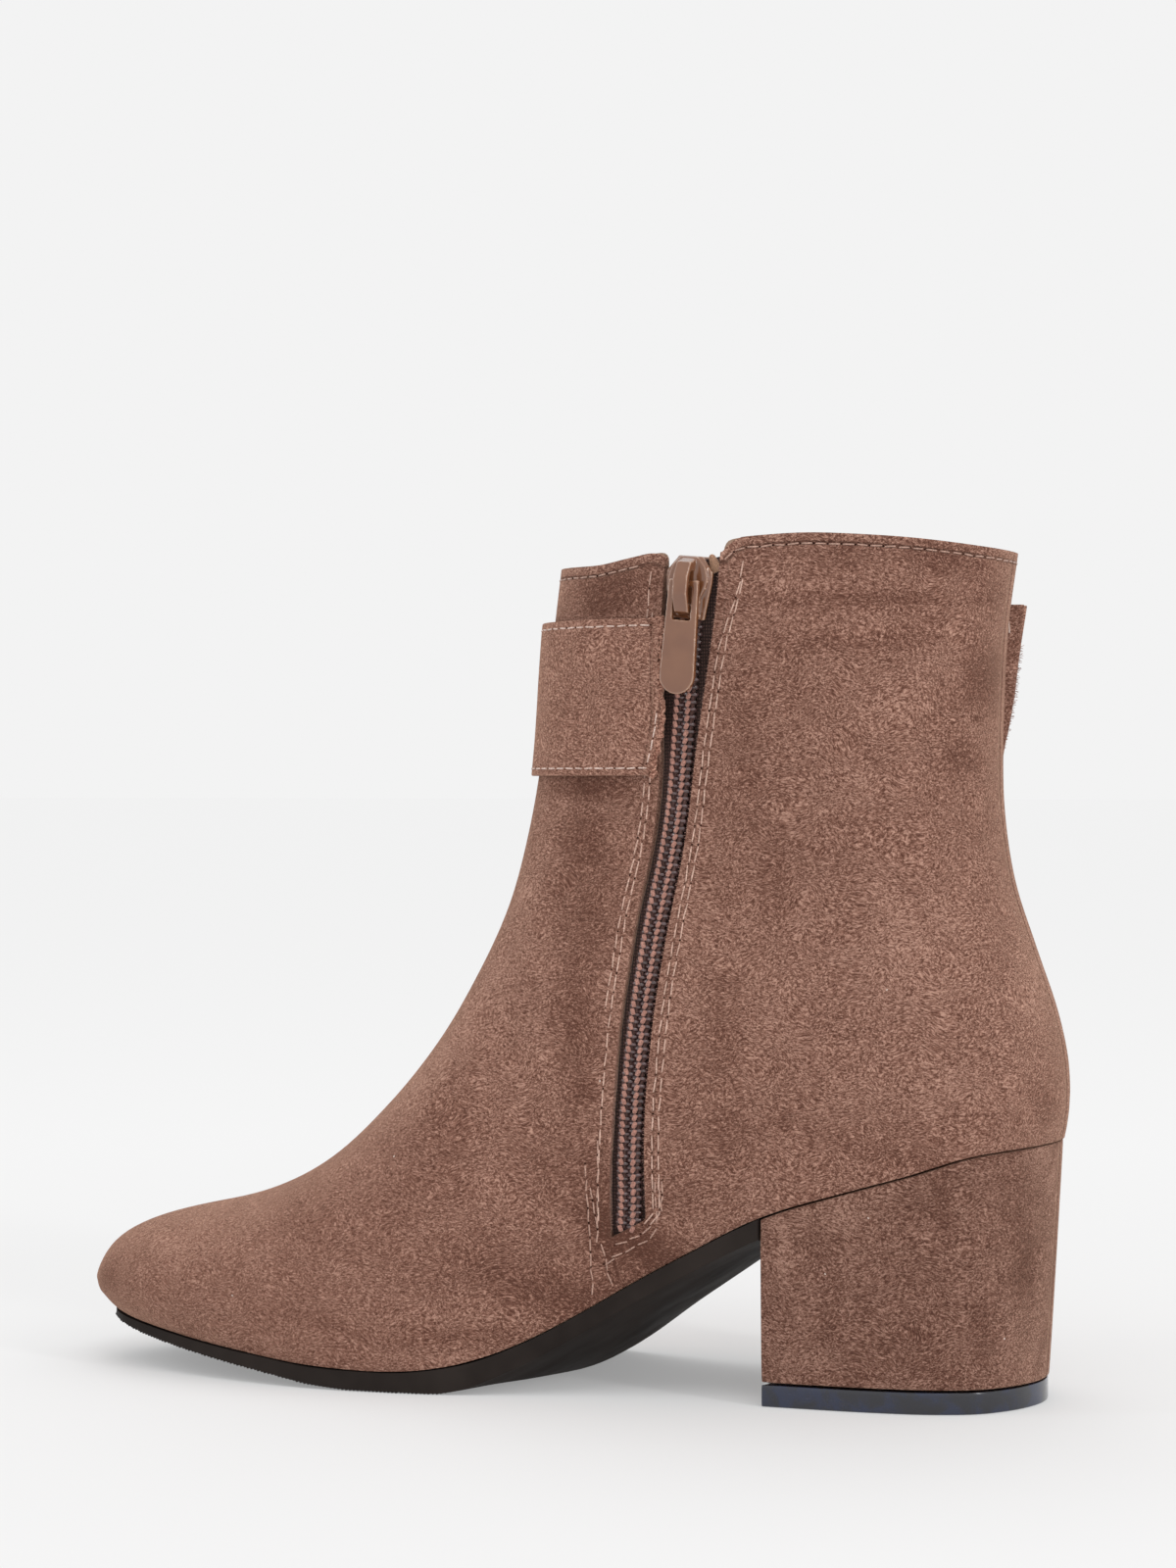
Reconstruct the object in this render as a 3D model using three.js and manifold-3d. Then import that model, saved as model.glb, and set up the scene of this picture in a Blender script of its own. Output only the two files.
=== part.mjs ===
// A right ankle boot in suede on a covered block heel: a closed vamp and shaft in one shell, a coil zip
// up the inner side, a wide strap round the shaft, a thin outsole, an insole, the heel and its top piece.
// Millimetres. +Y points to the toe, +Z up, +X to the outer side of the foot. The origin is on the floor
// below the middle of the boot.
import * as THREE from "three";
import { mergeVertices } from "three/addons/utils/BufferGeometryUtils.js";
import Module from "manifold-3d";

// Driving dimensions of the last
const LENGTH = 236; // back of the heel seat to the tip of the toe
const TOE_OVERHANG = 4.4; // the toe's tip ahead of the sole's
const BALL_MEDIAL = 36.8; // half widths of the sole at the ball
const BALL_LATERAL = 41;
const HEEL_HALF = 29.5; // half width of the heel seat
const SHAFT_HALF = 29.5; // half width of the shaft
const TOE_SWING = 3.5; // the toe turns this far towards the inner side
const HEEL_HEIGHT = 59.4; // floor to the back of the heel seat
const TREAD = 4.8; // floor to the lowest point of the upper, at the ball
const TOE_SPRING = 7.6; // the toe of the sole above the ball
const TOE_HEIGHT = 36.4; // floor to the top of the toe box
const THROAT_HEIGHT = 129; // floor to the bend between instep and shaft
const COLLAR_HEIGHT = 190; // floor to the collar at the front
const COLLAR_ARCH = 5.8; // the collar's highest point above its front
const COLLAR_FRONT = 118.2; // collar's front and back, ahead of the heel seat's back
const COLLAR_BACK = 10.8;

// Walls, layers and clearances
const WALL = 1.8;
const GAP = 0.3;
const INSOLE_THICKNESS = 2.2;
const INSOLE_PLAY = 0.2; // more room round its edge
const SHANK_CROWN = 4.5; // the belly of the outsole's underside at the waist
const SOLE_MARGIN = 0.7; // the outsole's edge outside the upper
const TREAD_FROM = 138; // the part of the outsole that lies on the floor
const TREAD_TO = 160;

// Block heel
const BREAST = 63.2; // flat front of the heel, ahead of the heel seat's back
const HEEL_TAPER = 3.2; // the back draws in by this towards the floor
const HEEL_SIDE_SHARE = 0.3; // and each side by this share of it
const HEEL_RIM = 0.4; // the heel inside the upper's edge at its top
const TIP_HEIGHT = 5;
const TIP_MARGIN = 0.3; // the top piece inside the heel's foot

// Zip
const ZIP_WIDTH = 9.4; // opening between the zip's two edges
const ZIP_TOP_WIDTH = 14; // the same at the collar, round the slider
const ZIP_FLARE = 50; // it widens over this height below the slider
const ZIP_CORNER = 1.5; // the collar's corners beside the zip, rounded down
const CORNER_RUN = 3; // within this of the zip's edges
const TAPE_THICKNESS = 0.8;
const TAPE_MARGIN = 6; // tape hidden behind each edge
const TAPE_FLARE = 12; // the two tapes part over this height below the slider
const COIL_WIDTH = 6.4;
const COIL_THICKNESS = 1.4;
const SLIDER_LENGTH = 14.4;
const SLIDER_WIDTH = 11.2;
const SLIDER_NOSE = 8.8; // width of its lower end
const SLIDER_PLATE = 1.1;
const SLIDER_CROWN = 0.8; // leaf-shaped step on the slider's plate
const SLIDER_DROP = 6; // the collar's front down to the slider's middle
const SLIDER_INNER = 1.2; // plate behind the tapes
const POST_WIDTH = 2.4; // joins the two plates above the coil
const BRIDGE_WIDTH = 3.6;
const BRIDGE_HEIGHT = 4.4; // bridge's top above the slider's crown
const BRIDGE_HOLE = 2.5; // height of the hole under the bridge
const PULL_LENGTH = 25; // pin to the tab's end
const PULL_WIDTH = 8.5;
const PULL_NECK = 7.2; // width of the two arms together
const PULL_THICKNESS = 1.5;
const PULL_WINDOW = 7.4; // length of the window between the arms
const PULL_CLEARANCE = 0.4; // between each arm and the bridge
const PIN_DIAMETER = 1.6;

// Strap
const STRAP_DROP = 12.6; // the collar's front down to its top edge
const STRAP_WIDTH = 35.8;
const STRAP_THICKNESS = 1.5;
const STRAP_SLACK = 1.2; // its top edge stands this far off the front
const STRAP_LIFT = 2.6; // and this far off its free end
const STRAP_RISE = 3.6; // its free end lies this much higher
const STRAP_OVER = 1; // its sewn end laps over the zip's front edge
const STRAP_END = 11; // its free end stops this far beside the back seam

// Mesh density
const RINGS_BELOW_ZIP = 6;
const RINGS = 30;
const FRONT_COLUMNS = 15;
const SLOT_COLUMNS = 2;
const BACK_COLUMNS = 12;
const FRONT_CROWDING = 1.3; // above 1, columns crowd towards the toe's tip, and towards the back seam
const BACK_CROWDING = 1.15;
const COLUMNS = FRONT_COLUMNS + SLOT_COLUMNS + BACK_COLUMNS;
const SAMPLES = 120;

const MEDIAL = -1;
const LATERAL = 1;
const SOLE_LENGTH = LENGTH - TOE_OVERHANG;
const SLIDER_HEIGHT = COLLAR_HEIGHT - SLIDER_DROP;
const STRAP_TOP = COLLAR_HEIGHT - STRAP_DROP;
const STRAP_BOTTOM = STRAP_TOP - STRAP_WIDTH;

// Plan of the sole's edge, from the heel's back to the toe. Half width is heel x HEEL_HALF plus
// medial x BALL_MEDIAL on the inner side, or lateral x BALL_LATERAL on the outer side.
const SOLE_PLAN = [
  { along: 0, heel: 0, medial: 0, lateral: 0 },
  { along: 0.026, heel: 0.6, medial: 0, lateral: 0 },
  { along: 0.06, heel: 0.84, medial: 0, lateral: 0 },
  { along: 0.12, heel: 0.97, medial: 0, lateral: 0 },
  { along: 0.19, heel: 1, medial: 0, lateral: 0 },
  { along: 0.27, heel: 0.99, medial: 0, lateral: 0.02 },
  { along: 0.335, heel: 0.5, medial: 0.33, lateral: 0.37 },
  { along: 0.4, heel: 0.2, medial: 0.56, lateral: 0.61 },
  { along: 0.46, heel: 0, medial: 0.775, lateral: 0.82 },
  { along: 0.52, heel: 0, medial: 0.875, lateral: 0.9 },
  { along: 0.585, heel: 0, medial: 0.965, lateral: 0.97 },
  { along: 0.65, heel: 0, medial: 1, lateral: 1 },
  { along: 0.715, heel: 0, medial: 0.99, lateral: 0.975 },
  { along: 0.78, heel: 0, medial: 0.93, lateral: 0.895 },
  { along: 0.84, heel: 0, medial: 0.83, lateral: 0.775 },
  { along: 0.9, heel: 0, medial: 0.685, lateral: 0.625 },
  { along: 0.945, heel: 0, medial: 0.525, lateral: 0.475 },
  { along: 0.978, heel: 0, medial: 0.345, lateral: 0.31 },
  { along: 1, heel: 0, medial: 0, lateral: 0 },
];

// Side view of the sole's edge: TREAD, plus inner or outer x the rise to the heel seat, plus
// toe x TOE_SPRING. The outer edge comes down sooner than the inner one, so the tread line is oblique.
// edge is the outsole's thickness there and crown its belly, as shares of TREAD and SHANK_CROWN.
const SOLE_SIDE = [
  { along: 0, inner: 1, outer: 1, toe: 0, edge: 1, crown: 0.4 },
  { along: 0.06, inner: 0.971, outer: 0.971, toe: 0, edge: 1, crown: 0.4 },
  { along: 0.12, inner: 0.893, outer: 0.891, toe: 0, edge: 1, crown: 0.4 },
  { along: 0.2, inner: 0.793, outer: 0.775, toe: 0, edge: 1, crown: 0.4 },
  { along: 0.27, inner: 0.697, outer: 0.65, toe: 0, edge: 1, crown: 0.4 },
  { along: 0.335, inner: 0.557, outer: 0.475, toe: 0, edge: 1, crown: 0.6 },
  { along: 0.4, inner: 0.405, outer: 0.29, toe: 0, edge: 1, crown: 0.85 },
  { along: 0.46, inner: 0.254, outer: 0.13, toe: 0, edge: 1.03, crown: 1.2 },
  { along: 0.52, inner: 0.12, outer: 0.03, toe: 0, edge: 1.1, crown: 1 },
  { along: 0.585, inner: 0.029, outer: 0, toe: 0, edge: 1.3, crown: 0.3 },
  { along: 0.65, inner: 0, outer: 0, toe: 0, edge: 1.1, crown: 0 },
  { along: 0.715, inner: 0, outer: 0, toe: 0.03, edge: 0.96, crown: 0 },
  { along: 0.78, inner: 0, outer: 0, toe: 0.24, edge: 0.81, crown: 0 },
  { along: 0.84, inner: 0, outer: 0, toe: 0.44, edge: 0.71, crown: 0 },
  { along: 0.9, inner: 0, outer: 0, toe: 0.67, edge: 0.64, crown: 0 },
  { along: 0.945, inner: 0, outer: 0, toe: 0.83, edge: 0.57, crown: 0 },
  { along: 1, inner: 0, outer: 0, toe: 1, edge: 0.42, crown: 0 },
];

// Front line of the boot, from the sole's tip round the toe and up the instep to the collar. ahead is a
// share of LENGTH. Heights run from the sole's tip to TOE_HEIGHT, THROAT_HEIGHT and COLLAR_HEIGHT.
const FRONT_LINE = [
  { zone: "toe", ahead: 0.992, up: 0.1 },
  { zone: "toe", ahead: 1, up: 0.3 },
  { zone: "toe", ahead: 0.989, up: 0.59 },
  { zone: "toe", ahead: 0.957, up: 0.83 },
  { zone: "toe", ahead: 0.903, up: 1 },
  { zone: "instep", ahead: 0.84, up: 0.037 },
  { zone: "instep", ahead: 0.788, up: 0.085 },
  { zone: "instep", ahead: 0.734, up: 0.167 },
  { zone: "instep", ahead: 0.675, up: 0.311 },
  { zone: "instep", ahead: 0.619, up: 0.493 },
  { zone: "instep", ahead: 0.582, up: 0.661 },
  { zone: "instep", ahead: 0.553, up: 0.838 },
  { zone: "instep", ahead: 0.537, up: 1 },
];

// Front of the shaft from the bend of the instep (0) to the collar (1), as shares forward and up
const SHAFT_LINE = [
  { ahead: 0.28, up: 0.24 },
  { ahead: 0.57, up: 0.57 },
];

// Back line from the heel seat to the collar, as shares of LENGTH and of the shaft's height
const BACK_LINE = [
  { ahead: -0.004, up: 0.05 },
  { ahead: -0.004, up: 0.118 },
  { ahead: 0.0055, up: 0.206 },
  { ahead: 0.026, up: 0.315 },
  { ahead: 0.048, up: 0.435 },
  { ahead: 0.0585, up: 0.557 },
  { ahead: 0.06, up: 0.685 },
  { ahead: 0.055, up: 0.876 },
];

// The collar's height from front (0) to back (1), as shares of COLLAR_ARCH above its front
const COLLAR_LINE = [
  { at: 0, up: 0 },
  { at: 0.12, up: -0.03 },
  { at: 0.24, up: 0.27 },
  { at: 0.34, up: 0.5 },
  { at: 0.47, up: 0.86 },
  { at: 0.6, up: 1 },
  { at: 0.79, up: 0.83 },
  { at: 0.93, up: 0.56 },
  { at: 1, up: 0.4 },
];

// Sections of the last, fanned from the toe to the collar. Each stands on the lower line (0 to 1 along
// the sole's edge from the toe, 1 to 2 up the back) and reaches the front line at a share of its length.
// Greatest half width is heel x HEEL_HALF plus shaft x SHAFT_HALF plus medial x BALL_MEDIAL or
// lateral x BALL_LATERAL, and belly is how far up the section it lies. full is 2 for an ellipse.
const SECTIONS = [
  { foot: 0, front: 0, heel: 0, shaft: 0, medial: 0.05, lateral: 0.05, belly: 0.5, full: 2 },
  { foot: 0, front: 0.048, heel: 0, shaft: 0, medial: 0.3, lateral: 0.27, belly: 0.5, full: 2 },
  { foot: 0.002, front: 0.083, heel: 0, shaft: 0, medial: 0.42, lateral: 0.38, belly: 0.5, full: 2 },
  { foot: 0.014, front: 0.118, heel: 0, shaft: 0, medial: 0.56, lateral: 0.5, belly: 0.45, full: 2.05 },
  { foot: 0.055, front: 0.165, heel: 0, shaft: 0, medial: 0.71, lateral: 0.65, belly: 0.42, full: 2.1 },
  { foot: 0.126, front: 0.236, heel: 0, shaft: 0, medial: 0.88, lateral: 0.81, belly: 0.36, full: 2.1 },
  { foot: 0.226, front: 0.345, heel: 0, shaft: 0, medial: 1.01, lateral: 0.96, belly: 0.28, full: 2.05 },
  { foot: 0.326, front: 0.49, heel: 0, shaft: 0, medial: 1.03, lateral: 1.025, belly: 0.22, full: 2 },
  { foot: 0.427, front: 0.6, heel: 0, shaft: 0, medial: 0.94, lateral: 0.94, belly: 0.22, full: 2 },
  { foot: 0.54, front: 0.66, heel: 0.5, shaft: 0, medial: 0.42, lateral: 0.46, belly: 0.27, full: 2 },
  { foot: 0.66, front: 0.7, heel: 0.85, shaft: 0.1, medial: 0.05, lateral: 0.12, belly: 0.3, full: 2.05 },
  { foot: 0.78, front: 0.735, heel: 0.8, shaft: 0.22, medial: 0, lateral: 0.03, belly: 0.27, full: 2.1 },
  { foot: 0.885, front: 0.765, heel: 0.8, shaft: 0.23, medial: 0, lateral: 0.01, belly: 0.26, full: 2.1 },
  { foot: 1, front: 0.79, heel: 0.7, shaft: 0.32, medial: 0, lateral: 0, belly: 0.24, full: 2.1 },
  { foot: 1.15, front: 0.82, heel: 0.46, shaft: 0.51, medial: 0, lateral: 0, belly: 0.26, full: 2.1 },
  { foot: 1.35, front: 0.86, heel: 0.18, shaft: 0.76, medial: 0, lateral: 0, belly: 0.32, full: 2.15 },
  { foot: 1.55, front: 0.9, heel: 0, shaft: 0.96, medial: 0, lateral: 0, belly: 0.38, full: 2.2 },
  { foot: 1.75, front: 0.94, heel: 0, shaft: 0.99, medial: 0, lateral: 0, belly: 0.43, full: 2.25 },
  { foot: 2, front: 1, heel: 0, shaft: 1.01, medial: 0, lateral: 0, belly: 0.47, full: 2.3 },
];

// Middle of the zip in side view: ahead as a share of LENGTH at a share of COLLAR_HEIGHT
const ZIP_LINE = [
  { up: 0.1, ahead: 0.397 },
  { up: 0.26, ahead: 0.399 },
  { up: 0.41, ahead: 0.393 },
  { up: 0.56, ahead: 0.379 },
  { up: 0.7, ahead: 0.3605 },
  { up: 0.84, ahead: 0.347 },
  { up: 1.03, ahead: 0.3325 },
];
const ZIP_FOOT = 0.204; // share of COLLAR_HEIGHT where the opening ends

// Smooth curve through a table's column, read at a share of the key column
function column(table, key, name, power = 1) {
  const x = table.map((row) => row[key]);
  const y = table.map((row) => (typeof name === "function" ? name(row) : row[name]) ** power);
  const step = x.slice(1).map((value, i) => (y[i + 1] - y[i]) / (value - x[i]));
  const slope = x.map((_, i) => {
    if (i === 0) return step[0];
    if (i === x.length - 1) return step[i - 1];
    return step[i - 1] * step[i] <= 0 ? 0 : (2 * step[i - 1] * step[i]) / (step[i - 1] + step[i]);
  });
  return (at) => {
    let i = 0;
    while (i < x.length - 2 && at > x[i + 1]) i += 1;
    const width = x[i + 1] - x[i];
    const t = THREE.MathUtils.clamp((at - x[i]) / width, 0, 1);
    const value =
      (1 + 2 * t) * (1 - t) ** 2 * y[i] +
      t * (1 - t) ** 2 * width * slope[i] +
      t * t * (3 - 2 * t) * y[i + 1] +
      t * t * (t - 1) * width * slope[i + 1];
    return power === 1 ? value : Math.max(value, 0) ** (1 / power);
  };
}

const planMedial = column(SOLE_PLAN, "along", (r) => r.heel * HEEL_HALF + r.medial * BALL_MEDIAL, 2);
const planLateral = column(SOLE_PLAN, "along", (r) => r.heel * HEEL_HALF + r.lateral * BALL_LATERAL, 2);
const solePlan = (side, y) => (side === MEDIAL ? planMedial : planLateral)(y / SOLE_LENGTH);

// Half width of the sole's plan moved outwards by a margin (inwards, if it's negative)
const PLAN_STEPS = 400;
const planSamples = Array.from(
  { length: PLAN_STEPS + 1 },
  (_, i) => (SOLE_LENGTH * (1 - Math.cos((Math.PI * i) / PLAN_STEPS))) / 2,
);
function offsetPlan(side, y, margin) {
  const reach = Math.abs(margin);
  const outward = Math.sign(margin);
  let half = outward > 0 ? 0 : Infinity;
  for (const at of planSamples) {
    if (Math.abs(at - y) > reach) continue;
    const edge = solePlan(side, at) + outward * Math.sqrt(reach ** 2 - (at - y) ** 2);
    half = outward > 0 ? Math.max(half, edge) : Math.min(half, edge);
  }
  return half;
}

const heelRise = HEEL_HEIGHT - TREAD;
const riseInner = column(SOLE_SIDE, "along", (r) => TREAD + r.inner * heelRise + r.toe * TOE_SPRING);
const riseOuter = column(SOLE_SIDE, "along", (r) => TREAD + r.outer * heelRise + r.toe * TOE_SPRING);
const soleZ = (side, y) => (side === MEDIAL ? riseInner : riseOuter)(y / SOLE_LENGTH);
const edgeShare = column(SOLE_SIDE, "along", "edge");
const crownShare = column(SOLE_SIDE, "along", "crown");
const swing = (y) => -TOE_SWING * THREE.MathUtils.smoothstep(y, LENGTH * 0.5, LENGTH);

const collarRise = column(COLLAR_LINE, "at", "up");
const collarZ = (share) => COLLAR_HEIGHT + COLLAR_ARCH * collarRise(share);

// The side view's lines, as curves in the plane x = 0
const toeFoot = soleZ(MEDIAL, SOLE_LENGTH);
const zones = {
  toe: [toeFoot, TOE_HEIGHT],
  instep: [TOE_HEIGHT, THROAT_HEIGHT],
};
const sidePoint = (y, z) => new THREE.Vector3(0, y, z);
const shaftRise = COLLAR_HEIGHT - THROAT_HEIGHT;
const throatAhead = FRONT_LINE[FRONT_LINE.length - 1].ahead * LENGTH;
const frontLine = new THREE.CatmullRomCurve3(
  [
    sidePoint(SOLE_LENGTH, toeFoot),
    ...FRONT_LINE.map(({ zone, ahead, up }) =>
      sidePoint(ahead * LENGTH, THREE.MathUtils.lerp(...zones[zone], up)),
    ),
    ...SHAFT_LINE.map(({ ahead, up }) =>
      sidePoint(THREE.MathUtils.lerp(throatAhead, COLLAR_FRONT, ahead), THROAT_HEIGHT + shaftRise * up),
    ),
    sidePoint(COLLAR_FRONT, COLLAR_HEIGHT),
  ],
  false,
  "centripetal",
);
const backLine = new THREE.CatmullRomCurve3(
  [
    sidePoint(0, HEEL_HEIGHT),
    ...BACK_LINE.map(({ ahead, up }) =>
      sidePoint(ahead * LENGTH, THREE.MathUtils.lerp(HEEL_HEIGHT, collarZ(1), up)),
    ),
    sidePoint(COLLAR_BACK, collarZ(1)),
  ],
  false,
  "centripetal",
);
const SOLE_STEPS = 40;
const soleLines = new Map(
  [MEDIAL, LATERAL].map((side) => {
    const points = Array.from({ length: SOLE_STEPS + 1 }, (_, i) => {
      const y = SOLE_LENGTH * (1 - i / SOLE_STEPS);
      return sidePoint(y, soleZ(side, y));
    });
    return [side, new THREE.CatmullRomCurve3(points, false, "centripetal")];
  }),
);
for (const line of [frontLine, backLine, ...soleLines.values()]) line.arcLengthDivisions = PLAN_STEPS;

// The sections' columns, read along the fan from 0 at the toe to 1 at the collar
const fanRows = SECTIONS.map((row, i) => ({ ...row, at: i / (SECTIONS.length - 1) }));
const rear = (r) => r.heel * HEEL_HALF + r.shaft * SHAFT_HALF;
const fan = {
  foot: column(fanRows, "at", "foot"),
  front: column(fanRows, "at", "front"),
  belly: column(fanRows, "at", "belly"),
  full: column(fanRows, "at", "full"),
  medial: column(fanRows, "at", (r) => rear(r) + r.medial * BALL_MEDIAL),
  lateral: column(fanRows, "at", (r) => rear(r) + r.lateral * BALL_LATERAL),
};

function fanLine(side, t) {
  const foot = fan.foot(t);
  const low = foot > 1 ? backLine.getPointAt(Math.min(foot - 1, 1)) : soleLines.get(side).getPointAt(foot);
  return { low, high: frontLine.getPointAt(Math.min(fan.front(t), 1)) };
}

// Half width of the last at a point of the side view
const FAN_START = 0.0005; // just inside the fan, where its lines have a length
const HALVINGS = 30; // steps of each search by halves
function halfWidth(side, y, z) {
  let from = FAN_START;
  let to = 1;
  const beyond = (t) => {
    const { low, high } = fanLine(side, t);
    return (high.y - low.y) * (z - low.z) - (high.z - low.z) * (y - low.y);
  };
  if (beyond(to) > 0) from = to;
  for (let i = 0; i < HALVINGS && from < to; i += 1) {
    const middle = (from + to) / 2;
    if (beyond(middle) > 0) from = middle;
    else to = middle;
  }
  const t = (from + to) / 2;
  const { low, high } = fanLine(side, t);
  const span = high.clone().sub(low);
  const up = THREE.MathUtils.clamp(sidePoint(y, z).sub(low).dot(span) / span.lengthSq(), 0, 1);
  const widest = (side === MEDIAL ? fan.medial : fan.lateral)(t);
  const sole = fan.foot(t) < 1 ? solePlan(side, low.y) : 0;
  const belly = fan.belly(t);
  const full = fan.full(t);
  const off = up < belly ? (belly - up) / belly : (up - belly) / (1 - belly);
  const round = (1 - off ** full) ** (2 / full);
  const base = up < belly ? sole ** 2 : 0;
  return Math.sqrt(base + (widest ** 2 - base) * round);
}

// One ring of the upper between the sole's edge (v 0) and the collar (v 1): for each side a fine line of
// points from the front to the back, with the length run so far
const ringFront = column(
  [
    { v: 0, at: 0 },
    { v: 0.04, at: 0.02 },
    { v: 0.08, at: 0.042 },
    { v: 0.12, at: 0.069 },
    { v: 0.16, at: 0.1 },
    { v: 0.2, at: 0.136 },
    { v: 0.4, at: 0.35 },
    { v: 1, at: 1 },
  ],
  "v",
  "at",
);

function ringPath(side, v, share) {
  const sole = (p) => sidePoint(SOLE_LENGTH * (1 - p), soleZ(side, SOLE_LENGTH * (1 - p)));
  const collar = (p) => sidePoint(THREE.MathUtils.lerp(COLLAR_FRONT, COLLAR_BACK, p), collarZ(p));
  const front = frontLine.getPointAt(ringFront(v));
  const back = backLine.getPointAt(v);
  const between = (p) => sole(p).multiplyScalar(1 - v).addScaledVector(collar(p), v);
  return between(share)
    .addScaledVector(front.sub(between(0)), 1 - share)
    .addScaledVector(back.sub(between(1)), share);
}

const ringCache = new Map();
function ring(v) {
  if (ringCache.has(v)) return ringCache.get(v);
  const sides = {};
  for (const side of [MEDIAL, LATERAL]) {
    const points = [];
    for (let i = 0; i <= SAMPLES; i += 1) {
      const share = (1 - Math.cos((Math.PI * i) / SAMPLES)) / 2;
      const p = ringPath(side, v, share);
      const end = v > 0 && (i === 0 || i === SAMPLES);
      const width = v === 0 ? solePlan(side, p.y) : halfWidth(side, p.y, p.z);
      points.push(new THREE.Vector3(swing(p.y) + side * (end ? 0 : width), p.y, p.z));
    }
    const run = [0];
    for (let i = 1; i < points.length; i += 1) run.push(run[i - 1] + points[i].distanceTo(points[i - 1]));
    sides[side] = { points, run };
  }
  const { points, run } = sides[MEDIAL];
  const past = points.findIndex((p) => p.y < zipY(p.z));
  const before = points[past - 1].y - zipY(points[past - 1].z);
  const after = points[past].y - zipY(points[past].z);
  const zip = THREE.MathUtils.lerp(run[past - 1], run[past], before / (before - after));
  const made = { ...sides, zip, zipShare: zip / run[SAMPLES] };
  ringCache.set(v, made);
  return made;
}

// The point of a ring at a run from its front
function alongRing(v, side, run) {
  const { points, run: runs } = ring(v)[side];
  const at = THREE.MathUtils.clamp(run, 0, runs[SAMPLES]);
  let i = 1;
  while (i < SAMPLES && runs[i] < at) i += 1;
  return points[i - 1].clone().lerp(points[i], (at - runs[i - 1]) / (runs[i] - runs[i - 1]));
}

const zipAhead = column(ZIP_LINE, "up", "ahead");
const zipY = (z) => LENGTH * zipAhead(z / COLLAR_HEIGHT);
function zipHalf(z) {
  const flare = THREE.MathUtils.smoothstep(z, SLIDER_HEIGHT - ZIP_FLARE, SLIDER_HEIGHT);
  return THREE.MathUtils.lerp(ZIP_WIDTH, ZIP_TOP_WIDTH, flare) / 2;
}

// Runs of a ring's columns from front to back: closer together at both ends, with columns at the zip's
// edges and one more beside each
function columnRuns(v, side) {
  const here = ring(v);
  const total = here[side].run[SAMPLES];
  const zip = here.zipShare * total;
  const half = zipHalf(alongRing(v, MEDIAL, here.zip).z);
  const before = zip - half - CORNER_RUN;
  const after = total - zip - half - CORNER_RUN;
  const spaced = (count, run) => Array.from({ length: count }, (_, i) => run(i / (count - 1)));
  return [
    ...spaced(FRONT_COLUMNS, (share) => before * share ** FRONT_CROWDING),
    ...spaced(SLOT_COLUMNS + 1, (share) => zip - half + 2 * half * share),
    ...spaced(BACK_COLUMNS, (share) => total - after * (1 - share) ** BACK_CROWDING),
  ];
}

function vAtHeight(z) {
  let [low, high] = [0.05, 1];
  for (let i = 0; i < HALVINGS; i += 1) {
    const middle = (low + high) / 2;
    if (alongRing(middle, MEDIAL, ring(middle).zip).z < z) low = middle;
    else high = middle;
  }
  return low;
}

// The upper's outer face: rings of points that run from the front down the inner side to the back and
// home along the outer side. One ring is the foot of the zip's opening.
const vZipFoot = vAtHeight(ZIP_FOOT * COLLAR_HEIGHT);
const ringStations = Array.from({ length: RINGS + 1 }, (_, k) =>
  k < RINGS_BELOW_ZIP
    ? (vZipFoot * k) / RINGS_BELOW_ZIP
    : THREE.MathUtils.lerp(vZipFoot, 1, (k - RINGS_BELOW_ZIP) / (RINGS - RINGS_BELOW_ZIP)),
);
const skin = ringStations.map((v) => {
  const inner = columnRuns(v, MEDIAL).map((run) => alongRing(v, MEDIAL, run));
  const outer = columnRuns(v, LATERAL).map((run) => alongRing(v, LATERAL, run));
  return [...inner, ...outer.slice(1, COLUMNS).reverse()];
});
const slotFrom = FRONT_COLUMNS;
const slotTo = FRONT_COLUMNS + SLOT_COLUMNS;
for (const i of [slotFrom, slotTo]) skin[RINGS][i].z -= ZIP_CORNER;

function geometryOf(points, faces) {
  const made = new THREE.BufferGeometry();
  made.setAttribute("position", new THREE.Float32BufferAttribute(points.flatMap((p) => [p.x, p.y, p.z]), 3));
  made.setIndex(faces.flat());
  return made;
}

// Unit normals of a grid of points, wrapped round if it closes on itself
function gridNormals(rows, wrap) {
  const count = rows[0].length;
  return rows.map((row, k) =>
    row.map((_, i) => {
      const left = rows[k][wrap ? (i + count - 1) % count : Math.max(i - 1, 0)];
      const right = rows[k][wrap ? (i + 1) % count : Math.min(i + 1, count - 1)];
      const below = rows[Math.max(k - 1, 0)][i];
      const above = rows[Math.min(k + 1, rows.length - 1)][i];
      return right.clone().sub(left).cross(above.clone().sub(below)).normalize();
    }),
  );
}

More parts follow.
